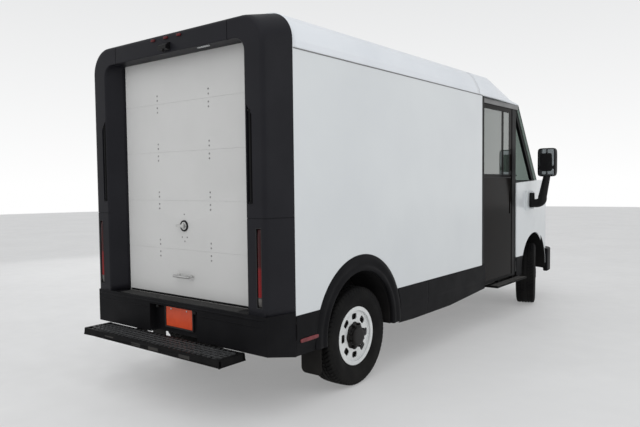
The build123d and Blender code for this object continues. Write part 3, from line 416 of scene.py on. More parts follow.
def piece(name: str, surface: Surface, finish: Finish, body: str = BODY,
          replaces: Sequence[str] = (), toward: Point | None = None, closed: bool = False,
          wall: float = 0.0, bevel: float = 0.0, smooth: int = 34) -> bpy.types.Object:
    """Makes, dresses and hangs one piece.

    Args:
        name: The object's name.
        surface: Its shape, in the truck's frame.
        finish: Its finish.
        body: The CAD body that it rides on.
        replaces: CAD nodes that it stands for.
        toward: A direction that most of an open sheet faces.
        closed: Merge doubles and turn all faces outwards.
        wall: Thickness grown inwards from an open sheet.
        bevel: Width of a live edge bevel.
        smooth: Angle in degrees past which an edge stays sharp.

    Returns:
        The object.
    """
    mesh = bpy.data.meshes.new(name)
    mesh.from_pydata(surface.points.tolist(), [], surface.faces)
    shape = bmesh.new()
    shape.from_mesh(mesh)
    bmesh.ops.remove_doubles(shape, verts=shape.verts, dist=2e-5)
    bmesh.ops.dissolve_degenerate(shape, edges=shape.edges, dist=1e-6)
    if closed:
        bmesh.ops.recalc_face_normals(shape, faces=shape.faces)
    if toward is not None:
        way = Vector(toward)
        if sum(face.calc_area() * face.normal.dot(way) for face in shape.faces) < 0:
            bmesh.ops.reverse_faces(shape, faces=shape.faces)
    shape.to_mesh(mesh)
    shape.free()
    mesh.shade_smooth()
    mesh.set_sharp_from_angle(angle=math.radians(smooth))
    made = bpy.data.objects.new(name, mesh)
    bpy.context.scene.collection.objects.link(made)
    mesh.materials.append(finish.material())
    if wall:
        thick = made.modifiers.new("wall", "SOLIDIFY")
        thick.thickness = wall
        thick.offset = -1
    if bevel:
        soften(made, bevel)
    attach(made, body)
    if replaces:
        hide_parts(*replaces)
    LOG.info("%s: %d faces", name, len(mesh.polygons))
    return made


def soften(made: bpy.types.Object, width: float, segments: int = 2) -> None:
    """Rounds an object's sharp edges with a live bevel."""
    bevel = made.modifiers.new("softened_edges", "BEVEL")
    bevel.width = width
    bevel.segments = segments
    bevel.limit_method = "ANGLE"
    bevel.angle_limit = math.radians(28)
    bevel.harden_normals = True


def softened(node: str, finish: Finish, width: float,
             segments: int = 2) -> bpy.types.Object:
    """A merged, edge-rounded copy of a CAD node, which it replaces.

    Args:
        node: The CAD node.
        finish: The copy's finish.
        width: The bevel's width.
        segments: The bevel's segments.

    Returns:
        The copy.
    """
    source = frame["nodes"][node]
    shape = bmesh.new()
    shape.from_mesh(source.data)
    bmesh.ops.remove_doubles(shape, verts=shape.verts, dist=2e-5)
    bmesh.ops.dissolve_limit(shape, angle_limit=math.radians(0.6), verts=shape.verts,
                             edges=shape.edges)
    mesh = bpy.data.meshes.new(node + "_shell")
    shape.to_mesh(mesh)
    shape.free()
    mesh.shade_smooth()
    mesh.set_sharp_from_angle(angle=math.radians(28))
    copy = bpy.data.objects.new(node + "_shell", mesh)
    bpy.context.scene.collection.objects.link(copy)
    mesh.materials.append(finish.material())
    soften(copy, width, segments)
    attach(copy, source["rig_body"])
    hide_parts(node)
    LOG.info("%s softened by %.1f mm", node, width / MM)
    return copy


def paint(node: str, finish: Finish) -> None:
    """Gives a CAD node that stays its finish."""
    data = frame["nodes"][node].data
    data.materials.clear()
    data.materials.append(finish.material())


def arc_points(start: float, end: float, count: int) -> np.ndarray:
    """Cosines and sines of evenly spaced angles in degrees, as (count, 2)."""
    angle = np.radians(np.linspace(start, end, count))
    return np.stack([np.cos(angle), np.sin(angle)], axis=-1)


def rounded_corner(before: Point, corner: Point, after: Point, count: int = 5) -> np.ndarray:
    """Quadratic curve from one point to another that leans on a corner between them."""
    share = np.linspace(0, 1, count)[:, None]
    a, b, c = (np.asarray(point, float) for point in (before, corner, after))
    return (1 - share) ** 2 * a + 2 * share * (1 - share) * b + share ** 2 * c


def lathe(profile: np.ndarray, steps: int, swell: Callable[[np.ndarray], np.ndarray] | None = None,
          closed: bool = False) -> Surface:
    """Profile of (radius, distance along the axis) turned round the X axis of its own frame.

    A point is (distance, radius times sine, radius times cosine) of the turn; swell adds to the
    radius by turn.

    Args:
        profile: (count, 2) array.
        steps: Points round the turn.
        swell: Extra radius for each turn and profile point.
        closed: The profile's last point joins its first.

    Returns:
        The turned surface.
    """
    turn = np.linspace(0, 2 * np.pi, steps, endpoint=False)[:, None]
    radius = np.broadcast_to(profile[:, 0], (steps, len(profile)))
    if swell is not None:
        radius = radius + swell(turn)
    along = np.broadcast_to(profile[:, 1], radius.shape)
    points = np.stack([along, radius * np.sin(turn), radius * np.cos(turn)], axis=-1)
    return Surface.grid(points, wrap_rows=True, wrap_columns=closed)


def box_surface(low: Point, high: Point) -> Surface:
    """Closed box between two corners."""
    (x0, y0, z0), (x1, y1, z1) = low, high
    points = np.array([[x0, y0, z0], [x1, y0, z0], [x1, y1, z0], [x0, y1, z0],
                       [x0, y0, z1], [x1, y0, z1], [x1, y1, z1], [x0, y1, z1]], float)
    return Surface(points, [(0, 3, 2, 1), (4, 5, 6, 7), (0, 1, 5, 4), (1, 2, 6, 5), (2, 3, 7, 6),
                            (3, 0, 4, 7)])


def pillow_box(centre: Point, half: Point, power: float = 5.0, rows: int = 25,
               columns: int = 48) -> Surface:
    """Box with generous round edges: a ball whose cosines and sines are raised to 2 / power.

    Args:
        centre: Middle of the box.
        half: Half sizes along X, Y and Z.
        power: Squareness; 2 is an ellipsoid.
        rows: Rings from pole to pole.
        columns: Points round a ring.

    Returns:
        The closed surface.
    """
    def squared(value: np.ndarray) -> np.ndarray:
        return np.sign(value) * np.abs(value) ** (2 / power)
    rise = np.linspace(-np.pi / 2, np.pi / 2, rows)[:, None]
    turn = np.linspace(0, 2 * np.pi, columns, endpoint=False)[None, :]
    points = np.stack([squared(np.cos(rise)) * squared(np.cos(turn)) * half[0],
                       squared(np.cos(rise)) * squared(np.sin(turn)) * half[1],
                       squared(np.sin(rise)) * half[2] * np.ones_like(turn)], axis=-1)
    return Surface.grid(points, wrap_columns=True).moved(centre)


def tube(path: Sequence[Point], radius: float | Sequence[float], steps: int = 20) -> Surface:
    """Round tube with closed ends: a ring square to the path at each of its points.

    Args:
        path: Points along the middle.
        radius: One radius, or one for each point.
        steps: Points round the tube.

    Returns:
        The closed surface.
    """
    line = np.asarray(path, float)
    ahead = np.gradient(line, axis=0)
    ahead /= np.linalg.norm(ahead, axis=1, keepdims=True)
    guide = np.array([0.0, 0.0, 1.0]) if abs(ahead[0, 2]) < 0.9 else np.array([0.0, 1.0, 0.0])
    across = np.cross(ahead, guide)
    across /= np.linalg.norm(across, axis=1, keepdims=True)
    up = np.cross(across, ahead)
    size = np.broadcast_to(np.asarray(radius, float), (len(line),))[:, None, None]
    ring = arc_points(0, 360 - 360 / steps, steps)
    points = line[:, None] + size * (ring[None, :, :1] * across[:, None]
                                     + ring[None, :, 1:] * up[:, None])
    return Surface.grid(points, wrap_columns=True, caps=True)


def domes(centres: np.ndarray, facing: Point, radius: float, height: float) -> Surface:
    """Small round heads: a flat ring, a crowned ring and a middle point at each centre.

    Args:
        centres: (count, 3) middles of the heads' bases.
        facing: Direction that the heads stick out in.
        radius: Head radius.
        height: Head height.

    Returns:
        The heads.
    """
    out = Vector(facing).normalized()
    side = out.orthogonal().normalized()
    other = out.cross(side)
    ring = arc_points(0, 315, 8)
    shape = []
    for share, lift in ((1.0, 0.0), (0.95, 0.45), (0.6, 0.9), (0.05, 1.0)):
        shape.append(ring[:, :1] * share * radius * np.array(side)
                     + ring[:, 1:] * share * radius * np.array(other)
                     + lift * height * np.array(out))
    head = Surface.grid(np.stack(shape), wrap_columns=True, caps=True)
    return Surface.join([head.moved(centre) for centre in centres])


# ------------------------------------------------------------------ rear end
@dataclass
class RearSurround:
    """Moulded frame round the rear doorway, with its lamps, grab slots and camera."""

    rear: float = -2.770
    front: float = -2.534
    jamb_y: float = -2.642
    base: float = 0.704
    face_half: float = 0.941
    face_top: float = 2.634
    side_half: float = 0.989
    side_top: float = 2.683
    corner: float = 0.190
    door_half: float = 0.781
    door_top: float = 2.499
    door_corner: float = 0.085
    jamb_half: float = 0.690
    jamb_corner: float = 0.012
    lamp_x: tuple[float, float] = (0.863, 0.908)
    lamp_z: tuple[float, float] = (0.756, 1.271)
    lamp_depth: float = 0.012
    slot_x: tuple[float, float] = (0.7905, 0.838)
    slot_z: tuple[float, float] = (1.428, 2.069)
    slot_depth: float = 0.046
    slot_slant: float = 0.07
    header_seam: float = 0.627
    pillar_seam: float = 1.334
    groove: float = 0.004
    lamp_spacing: float = 0.146
    side_marker_y: tuple[float, float] = (-2.497, -2.303)

    def columns(self) -> tuple[np.ndarray, np.ndarray]:
        """Section of the frame from the jamb's inner end out to the side panel.

        Returns:
            (count, 2) half widths and Y, and (count,) groove share of each column.
        """
        jamb_end = np.array([self.jamb_half, self.jamb_y])
        inner = np.array([self.door_half, self.rear])
        outer = np.array([self.face_half, self.rear])
        side_end = np.array([self.side_half, self.front])
        lean = (jamb_end - inner) / np.linalg.norm(jamb_end - inner)
        flare = (side_end - outer) / np.linalg.norm(side_end - outer)
        jamb = jamb_end + (inner + lean * 0.01 - jamb_end) * np.linspace(0, 0.95, 6)[:, None]
        edge_in = rounded_corner(inner + lean * 0.009, inner, inner + (0.009, 0))
        cuts = (self.slot_x[0] + 0.0002, self.slot_x[0] + 0.0012, self.slot_x[1] - 0.001,
                self.slot_x[1], 0.85, self.lamp_x[0], self.lamp_x[0] + 0.001,
                self.lamp_x[1] - 0.001, self.lamp_x[1])
        face = np.array([(half, self.rear) for half in cuts])
        edge_out = rounded_corner(outer - (0.028, 0), outer, outer + flare * 0.028, 8)
        side = outer + (side_end - outer) * np.linspace(0.2, 0.985, 7)[:, None]
        edge_end = rounded_corner(side_end - flare * 0.003, side_end, side_end - (0.003, 0), 3)
        back = np.array([(self.side_half - 0.02, self.front)])
        points = np.vstack([jamb, edge_in, face, edge_out, side, edge_end, back])
        grooved = np.ones(len(points))
        grooved[:len(jamb)] = 0
        grooved[-4:] = 0
        return points, grooved

    def surface(self) -> Surface:
        """Portal-shaped sheet.

        Each column is a doorway outline: two legs, two quarter circles and a lintel. Its half
        width, top and corner radius run between the door opening's, the rear face's and the side
        panel's. Lamp recesses, grab slots and seam grooves push points in along the section's
        inward direction.
        """
        section, grooved = self.columns()
        half, y = section[:, 0], section[:, 1]
        top = np.interp(half, (self.door_half, self.face_half, self.side_half),
                        (self.door_top, self.face_top, self.side_top))
        radius = np.interp(half, (self.jamb_half, self.door_half - 0.012, self.face_half),
                           (self.jamb_corner, self.door_corner, self.corner))
        run = np.gradient(section, axis=0)
        inward = np.stack([-run[:, 1], run[:, 0]], axis=-1)
        inward /= np.linalg.norm(inward, axis=1, keepdims=True)

        seam = self.pillar_seam
        low, high = self.lamp_z, self.slot_z
        levels = np.array([self.base, low[0] - 0.001, low[0], 0.9, 1.05, 1.2, low[1],
                           low[1] + 0.001, seam - 0.003, seam - 0.002, seam + 0.002,
                           seam + 0.003, high[0] - 0.001, high[0], 1.6, 1.8, 1.93, high[1] - 0.02,
                           high[1] - 0.001, high[1], 2.2, 2.3])
        slant = np.interp(half, (self.slot_x[0], self.slot_x[1], 0.86, 0.9), (0, 1, 1, 0))
        drop = self.slot_slant * np.interp(levels, (1.8, 1.93, high[1], 2.2), (0, 1, 1, 0))
        leg_z = levels[:, None] - drop[:, None] * slant[None, :]
        in_lamp = ((levels > low[0] - 0.0005) & (levels < low[1] + 0.0005))[:, None] & (
            (half > self.lamp_x[0] + 0.0005) & (half < self.lamp_x[1] - 0.0005))[None, :]
        in_slot = ((levels > high[0] - 0.0005) & (levels < high[1] - 0.0005))[:, None] & (
            (half > self.slot_x[0] + 0.0005) & (half < self.slot_x[1] - 0.0005)
            & (y < self.rear + 1e-6))[None, :]
        in_groove = (np.abs(levels - seam) < 0.0025)[:, None] & (grooved > 0)[None, :]
        depth = (in_lamp * self.lamp_depth + in_slot * self.slot_depth
                 + in_groove * self.groove)
        leg = np.stack([half + depth * inward[:, 0], y + depth * inward[:, 1], leg_z], axis=-1)

        turn = np.radians(np.linspace(0, 90, 15))[:, None]
        arc = np.stack([half - radius + radius * np.cos(turn), np.broadcast_to(y, (15, len(y))),
                        top - radius + radius * np.sin(turn)], axis=-1)
        marks = np.array([0.66, self.header_seam + 0.003, self.header_seam + 0.002,
                          self.header_seam - 0.002, self.header_seam - 0.003, 0.45, 0.2, 0.0])
        limit = half - radius
        x = marks[:, None] * np.minimum(limit / 0.661, 1)[None, :]
        dent = ((np.abs(marks - self.header_seam) < 0.0025)[:, None]
                & (grooved > 0)[None, :]) * self.groove
        lintel = np.stack([x, y + dent * inward[:, 1], top + dent * inward[:, 0]], axis=-1)
        right = np.concatenate([leg, arc, lintel])
        left = right[-2::-1] * np.array([-1.0, 1.0, 1.0])
        return Surface.grid(np.concatenate([right, left]))

    def build(self) -> None:
        """Makes the frame and what is set into it."""
        piece("rear_surround_moulding", self.surface(), SURROUND_SKIN,
              replaces=["rear_surround"], toward=(0, -1, 0), wall=0.004)
        self.lamps()
        self.grab_handles()
        self.header_fittings()

    def lamps(self) -> None:
        """Tall tail lamps: a crowned lens with ribs across it, on a dark bezel.

        The lens stands proud by a half-sine across its width, and its ribs are a small cosine
        along its height.
        """
        across = np.linspace(0, 1, 13)
        up = np.linspace(0, 1, 170)[:, None]
        margin = 0.0035
        x = self.lamp_x[0] + margin + (self.lamp_x[1] - self.lamp_x[0] - 2 * margin) * across
        z = self.lamp_z[0] + margin + (self.lamp_z[1] - self.lamp_z[0] - 2 * margin) * up
        ends = np.minimum(1, 12 * np.minimum(up, 1 - up)) ** 0.5
        crown = 0.011 * np.sin(np.pi * across) ** 0.35 * ends
        ribs = 0.0006 * np.cos(2 * np.pi * up * 42) * (crown > 0.006)
        y = self.rear + self.lamp_depth - 0.0005 - crown + ribs
        lens = Surface.grid(np.stack(np.broadcast_arrays(x, y, z), axis=-1)).both_sides()
        piece("tail_lamp_lenses", lens, TAIL_RED, replaces=["tail_lamps"],
              toward=(0, -1, 0), wall=0.001, smooth=60)
        bezels = []
        for side_x in self.lamp_x:
            bezels.append(box_surface((side_x - 0.002, self.rear - 0.0015, self.lamp_z[0] - 0.004),
                                      (side_x + 0.002, self.rear + 0.010, self.lamp_z[1] + 0.004)))
        for level in (*self.lamp_z, 0.822):
            bezels.append(box_surface((self.lamp_x[0], self.rear - 0.0015, level - 0.002),
                                      (self.lamp_x[1], self.rear + 0.010, level + 0.002)))
        piece("tail_lamp_bezels", Surface.join(bezels).both_sides(), FRAME_BLACK,
              closed=True, bevel=0.0008)

    def grab_handles(self) -> None:
        """Upright grab bars in their slots, with a foot at each end."""
        middle = sum(self.slot_x) / 2 + 0.002
        low, high = self.slot_z[0] + 0.001, self.slot_z[1] - 0.036
        y = self.rear + 0.012
        bar = tube([(middle, y, z) for z in np.linspace(low, high, 8)], 0.0105, 16)
        feet = [tube([(middle, y, z), (middle, y, z + 0.012)], 0.0175, 16)
                for z in (low, high - 0.012)]
        piece("grab_handle_bars", Surface.join([bar, *feet]).both_sides(), POST_BLACK,
              replaces=["grab_bars"], closed=True)

    def header_fittings(self) -> None:
        """Clearance lamps, camera hood and the doorway's lamp strip."""
        lamps = [pillow_box((x, self.rear - 0.004, self.face_top - 0.029),
                            (0.022, 0.007, 0.0095), 4, 13, 28)
                 for x in (-self.lamp_spacing, 0.0, self.lamp_spacing)]
        y0, y1 = self.side_marker_y
        side = pillow_box((0.9935, (y0 + y1) / 2, 0.502), (0.0055, (y1 - y0) / 2, 0.0135), 6, 13,
                          44)
        piece("clearance_lamps", Surface.join(lamps), MARKER_RED, closed=True)
        piece("side_marker_lamps", side.both_sides(), SIDE_RED,
              replaces=["marker_lamps"], closed=True)
        softened("rear_camera", CAMERA_BLACK, 0.005, 3)
        lens = lathe(np.array([(0.0005, 0.0), (0.007, 0.0008), (0.0095, 0.0), (0.0105, -0.002)]),
                     24)
        axes = np.array([(0.0, -0.5, -0.866), (1.0, 0.0, 0.0), (0.0, 0.866, -0.5)])
        piece("camera_lens", lens.seen_from(axes, (0, self.rear - 0.034, 2.5065)), GLOSS_BLACK,
              toward=(0, -0.5, -0.866), wall=0.001)
        strip = pillow_box((0.365, self.rear + 0.03, self.door_top - 0.003), (0.065, 0.009, 0.004),
                           5, 13, 40)
        piece("doorway_lamp_strip", strip, CLEAR_LENS, closed=True)


@dataclass
class RollUpDoor:
    """Five hinged panels, their seam strips, bolt heads, bottom seal, latch and pull handle."""

    face: float = -2.640
    base: float = 0.704
    pitch: float = 0.366
    count: int = 5
    half: float = 0.700
    hinge_x: float = 0.290
    latch_z: float = 1.249
    handle_z: float = 0.873

    def build(self) -> None:
        """Softens the panels and adds bolt heads, seam strips and hardware.

        A seam strip lies just under the face in the gap below its panel, so the joint reads as a
        faint line.
        """
        for index in range(self.count):
            body = f"roll_door_{index + 1}"
            softened(f"rear_door_panel_{index + 1}", DOOR_WHITE, 0.0012)
            low = self.base + index * self.pitch
            high = low + self.pitch
            levels = [low + 0.028, low + 0.062] if index else []
            levels += [high - 0.062, high - 0.028] if index < self.count - 1 else []
            heads = np.array([(side * self.hinge_x, self.face, z)
                              for side in (-1, 1) for z in levels])
            piece(f"door_bolts_{index + 1}", domes(heads, (0, -1, 0), 0.0075, 0.003), BOLT_GREY,
                  body, closed=True)
            if index:
                seam = box_surface((-self.half + 0.002, self.face + 0.0016, low - 0.0017),
                                   (self.half - 0.002, self.face + 0.008, low + 0.0017))
                piece(f"door_seam_{index + 1}", seam, DOOR_WHITE, body, closed=True)
        self.latch()
        seal = box_surface((-self.half + 0.015, self.face - 0.001, self.base + 0.0012),
                           (self.half - 0.015, self.face + 0.012, self.base + 0.018))
        piece("door_bottom_seal", seal, FLAP_RUBBER, "roll_door_1", closed=True,
              bevel=0.002)

    def latch(self) -> None:
        """Latch cup and T handle, and the fixings round it."""
        softened("latch_handle", HANDLE_STEEL, 0.004, 3)
        profile = np.array([(0.0405, 0.0), (0.0425, 0.004), (0.041, 0.0092), (0.036, 0.0105),
                            (0.031, 0.0092), (0.029, 0.0082)])
        axes = np.array([(0.0, -1.0, 0.0), (1.0, 0.0, 0.0), (0.0, 0.0, 1.0)])
        ring = lathe(profile, 48).seen_from(axes, (0, self.face, self.latch_z))
        piece("latch_escutcheon", ring, HUB_BLACK, "roll_door_2",
              toward=(0, -1, 0), wall=0.001)
        fixings = np.array([(x, self.face, self.latch_z + z) for x, z in
                            ((0.0, 0.085), (0.028, -0.085), (-0.028, -0.085), (0.0, -0.115))])
        piece("latch_fixings", domes(fixings, (0, -1, 0), 0.006, 0.0028), BOLT_GREY,
              "roll_door_2", closed=True)
        plates = [pillow_box((x, self.face - 0.002, self.handle_z), (0.021, 0.003, 0.018), 5, 11,
                             28) for x in (-0.075, 0.075)]
        piece("pull_handle_feet", Surface.join(plates), HANDLE_STEEL, "roll_door_1",
              closed=True)
        bar = tube([(x, self.face - 0.039, self.handle_z) for x in np.linspace(-0.091, 0.091, 9)],
                   0.0105, 18)
        piece("pull_handle_bar", bar, HANDLE_STEEL, "roll_door_1", closed=True)


@dataclass
class RearStep:
    """Grating step on two brackets."""

    half: float = 0.765
    rear: float = -3.020
    front: float = -2.790
    top: float = 0.455
    deep: float = 0.05
    columns: int = 30
    rows: int = 5
    end_cap: float = 0.03
    arm_x: float = 0.43

    def build(self) -> None:
        """Makes the tread's rim with its end caps, the lattice of bars, cleats and brackets."""
        rim, bar = 0.020, 0.0055
        x0, x1, y0, y1 = -self.half, self.half, self.rear, self.front
        low = self.top - self.deep
        parts = [box_surface((x0, y0, low), (x1, y0 + rim, self.top - 0.003)),
                 box_surface((x0, y1 - rim, low), (x1, y1, self.top - 0.003))]
        for start, end in ((x0, x0 + self.end_cap), (x1 - self.end_cap, x1)):
            parts.append(box_surface((start, y0, low), (end, y1, self.top - 0.001)))
        piece("step_rim", Surface.join(parts), STEP_BLACK,
              replaces=["rear_step"], closed=True, bevel=0.004)
        inside = x1 - self.end_cap
        bars_y = np.linspace(y0 + rim, y1 - rim, self.rows + 1)[1:-1]
        bars_x = np.linspace(-inside, inside, self.columns + 1)[1:-1]
        lattice = [box_surface((-inside, y - bar, low + 0.01), (inside, y + bar, self.top))
                   for y in bars_y]
        for x in bars_x:
            lattice.append(box_surface((x - bar, y0 + rim - 0.002, low + 0.012),
                                       (x + bar, y1 - rim + 0.002, self.top - 0.0015)))
        piece("step_lattice", Surface.join(lattice), TREAD_WORN, bevel=0.0012)
        cleats = [(x, y, self.top - 0.0005) for x in bars_x for y in bars_y]
        piece("step_cleats", domes(np.array(cleats), (0, 0, 1), 0.0065, 0.0022), TREAD_WORN,
              closed=True)
        hardware = []
        for side in (-1, 1):
            for near in (0.10, self.arm_x):
                x = side * near
                hardware.append(box_surface((x - 0.055, y0 - 0.002, low + 0.006),
                                            (x + 0.055, y0 + 0.002, low + 0.03)))
            arm = side * self.arm_x
            hardware.append(box_surface((arm - 0.03, y1 - 0.001, self.top - 0.04),
                                        (arm + 0.03, -2.65, self.top - 0.015)))
            hardware.append(box_surface((arm - 0.03, -2.68, self.top - 0.04),
                                        (arm + 0.03, -2.65, 0.52)))
        piece("step_brackets", Surface.join(hardware), CHASSIS_BLACK, closed=True,
              bevel=0.003)


@dataclass
class RearBumper:
    """Bumper under the doorway, with its plate."""

    rear: float = -2.770
    plate_z: float = 0.570
    plate_y: float = -2.711

    def build(self) -> None:
        """Softens the bumper and adds ledges, the plate and its frame."""
        softened("rear_bumper", TRIM_PLASTIC, 0.009, 3)
        self.ledges()
        self.plate()

    def ledges(self) -> None:
        """Sill ledge under the door, and a raised rib each side of the plate recess.

        A rib is a half-round carried across the truck, drawn out to nothing at its ends.
        """
        share = np.linspace(0, 1, 60)[:, None]
        outward, upward = arc_points(-90, 90, 9).T
        ribs = []
        for z, x0, x1, tall, proud in ((0.632, 0.30, 0.90, 0.006, 0.004),
                                       (0.678, -0.93, 0.93, 0.010, 0.006)):
            ends = np.minimum(1, 10 * np.minimum(share, 1 - share)) ** 0.5
            x = x0 + (x1 - x0) * share
            y = self.rear - proud * outward * ends
            up = z + tall * upward * (0.4 + 0.6 * ends)
            rib = Surface.grid(np.stack(np.broadcast_arrays(x, y, up), axis=-1))
            ribs.append(rib)
            if x0 > 0:
                ribs.append(rib.mirrored())
        piece("bumper_ribs", Surface.join(ribs), TRIM_PLASTIC,
              toward=(0, -1, 0), wall=0.001)
        tread = [box_surface((-0.688, -2.640, 0.7035), (0.688, -2.638, 0.704))]
        for y in np.linspace(-2.752, -2.662, 7):
            tread.append(box_surface((-0.66, y - 0.003, 0.7035), (0.66, y + 0.003, 0.7065)))
        piece("door_sill_grips", Surface.join(tread), GRIP_BLACK, closed=True,
              bevel=0.0012)

    def plate(self) -> None:
        """Plain plate in a black frame with two bolts, and lamps over it."""
        half_x, half_z = 0.1525, 0.076
        u = np.linspace(-1, 1, 41)[None, :]
        v = np.linspace(-1, 1, 27)[:, None]
        edge = np.maximum(np.abs(u) ** 24, np.abs(v) ** 12)
        emboss = 0.0012 * np.exp(-((np.maximum(np.abs(u), np.abs(v)) - 0.9) / 0.025) ** 2)
        y = self.plate_y - 0.0008 - emboss + 0.002 * edge ** 6
        sheet = np.stack(np.broadcast_arrays(half_x * u, y, self.plate_z + half_z * v), axis=-1)
        piece("number_plate", Surface.grid(sheet), PLATE_ORANGE,
              toward=(0, -1, 0), wall=0.001)
        paint("licence_plate", FRAME_BLACK)
        bolts = np.array([(x, self.plate_y - 0.001, self.plate_z + 0.058)
                          for x in (-0.089, 0.089)])
        piece("plate_bolts", domes(bolts, (0, -1, 0), 0.007, 0.003), HANDLE_STEEL,
              closed=True)
        rim = []
        for side in (-1, 1):
            rim.append(box_surface((side * 0.157 - 0.005, self.plate_y - 0.004, 0.487),
                                   (side * 0.157 + 0.005, self.plate_y + 0.003, 0.653)))
            level = self.plate_z + side * 0.080
            rim.append(box_surface((-0.160, self.plate_y - 0.004, level - 0.004),
                                   (0.160, self.plate_y + 0.003, level + 0.004)))
        piece("plate_frame", Surface.join(rim), FRAME_BLACK, closed=True,
              bevel=0.0015)
        lamps = [pillow_box((side * 0.215, self.plate_y - 0.018, 0.640), (0.016, 0.017, 0.013), 4,
                            13, 28) for side in (-1, 1)]
        piece("plate_lamps", Surface.join(lamps), CAMERA_BLACK, closed=True)


# ------------------------------------------------------------------ sides and roof
@dataclass
class LowerCladding:
    """Wheel-arch flares, sills and rear quarters in moulded plastic."""

    axle: float = -1.759
    arch_z: float = 0.443
    outer: float = 0.568
    inner_x: float = 0.966
    bumper_y: float = -2.534
    sill_end: float = 0.538
    seam_y: float = -0.725

    def flare(self) -> Surface:
        """Arch flare: a section of (radius, X) carried round the arch.

        The section is a broad convex band, a valley, and a rolled lip at the opening. The arch
        starts and ends where each radius meets the body's lower edge.
        """
        section = np.array([
            (0.4405, 0.966), (0.4402, 0.975), (0.4404, 0.986), (0.442, 0.9925), (0.446, 0.9975),
            (0.453, 1.0008), (0.462, 1.0018), (0.470, 1.0004), (0.477, 0.9966), (0.484, 0.9937),
            (0.492, 0.9938), (0.502, 0.9962), (0.514, 0.9992), (0.526, 1.0008), (0.536, 1.0005),
            (0.546, 0.9982), (0.555, 0.9948), (0.562, 0.9915), (0.5665, 0.9896),
            (0.568, 0.9875), (0.568, 0.967)])
        radius, x = section[:, 0], section[:, 1]
        low = np.arcsin((0.402 - self.arch_z) / radius)
        share = np.linspace(0, 1, 121)[:, None]
        turn = low + share * (np.pi - 2 * low)
        points = np.stack([np.broadcast_to(x, turn.shape), self.axle + radius * np.cos(turn),
                           self.arch_z + radius * np.sin(turn)], axis=-1)
        return Surface.grid(points)

    def side_x(self, z: np.ndarray) -> np.ndarray:
        """Outer X by height: flat band, crease, then tucked under."""
        return np.interp(z, (0.372, 0.42, 0.46, 0.488, 0.50, 0.53, 0.545, 0.669, 0.677),
                         (0.9755, 0.9815, 0.9862, 0.9888, 0.9895, 0.9945, 0.9952, 0.992, 0.990))

    def sheet(self, levels: np.ndarray, starts: np.ndarray, ends: np.ndarray,
              base: Callable[[np.ndarray], np.ndarray], count: int) -> Surface:
        """Side sheet between two Y limits that may change with height, down to a lower edge.

        A row's height is squeezed between the lower edge at its Y and the sheet's top.
        """
        share = np.linspace(0, 1, count)[None, :]
        y = starts[:, None] + (ends - starts)[:, None] * share
        foot = base(y)
        low, high = levels[0], levels[-1]
        z = foot + (levels[:, None] - low) / (high - low) * (high - foot)
        x = self.side_x(z)
        x = x - 0.0035 * np.exp(-((y - self.seam_y) / 0.003) ** 2)
        lip = np.stack([np.full_like(x[:1], self.inner_x), y[:1], z[:1]], axis=-1)
        crown = np.stack([np.full_like(x[-1:], self.inner_x), y[-1:], z[-1:]], axis=-1)
        return Surface.grid(np.concatenate([lip, np.stack([x, y, z], axis=-1), crown]))

    def build(self) -> None:
        """Makes the flares, sills and quarters for both sides."""
        flare = self.flare().both_sides()
        piece("arch_flares", flare, TRIM_PLASTIC, replaces=["lower_cladding"],
              wall=0.003, smooth=50)
        levels = np.unique(np.round(np.concatenate([
            np.linspace(0.402, 0.677, 23), (0.488, 0.500, 0.530, 0.545, 0.669)]), 4))
        reach = np.sqrt(np.maximum((self.outer - 0.0005) ** 2 - (levels - self.arch_z) ** 2, 0))

        def sill_base(y: np.ndarray) -> np.ndarray:
            return np.interp(y, (self.axle, self.axle + 0.8, self.sill_end - 0.8, self.sill_end),
                             (0.402, 0.372, 0.372, 0.422))

        def flat_base(y: np.ndarray) -> np.ndarray:
            return np.full_like(y, 0.402)

        sill = self.sheet(levels, self.axle + reach, np.full_like(levels, self.sill_end),
                          sill_base, 240)
        quarter = self.sheet(levels, np.full_like(levels, self.bumper_y), self.axle - reach,
                             flat_base, 24)
        for right, left, sheet in (
                ("side_sills_right", "side_sills_left", Surface.join([sill, quarter])),
                ("fender_corner_trim", "fender_corner_trim_left", self.front_corner())):
            piece(right, sheet, TRIM_PLASTIC, toward=(1, 0, 0), wall=0.003)
            piece(left, sheet.mirrored(), TRIM_PLASTIC, toward=(-1, 0, 0),
                  wall=0.003)
        brackets = box_surface((0.780, self.axle - 0.491, 0.432), (0.967, self.axle - 0.481, 0.600))
        piece("flap_brackets", brackets.both_sides(), CHASSIS_BLACK,
              closed=True, bevel=0.002)
        softened("mud_flaps", FLAP_RUBBER, 0.0025)

    def front_corner(self) -> Surface:
        """Trim behind the front wheel, cut to the front arch's circle."""
        levels = np.linspace(0.420, 0.650, 16)
        front_axle, arch_z, radius = 2.127, 0.464, 0.440
        ends = front_axle - np.sqrt(radius ** 2 - (levels - arch_z) ** 2)
        share = np.linspace(0, 1, 12)[None, :]
        y = 1.5085 + (ends - 1.5085)[:, None] * share
        z = np.broadcast_to(levels[:, None], y.shape)
        x = np.full_like(y, 0.9575) - 0.004 * (share - 0.5) ** 2
        return Surface.grid(np.stack([x, y, z], axis=-1))


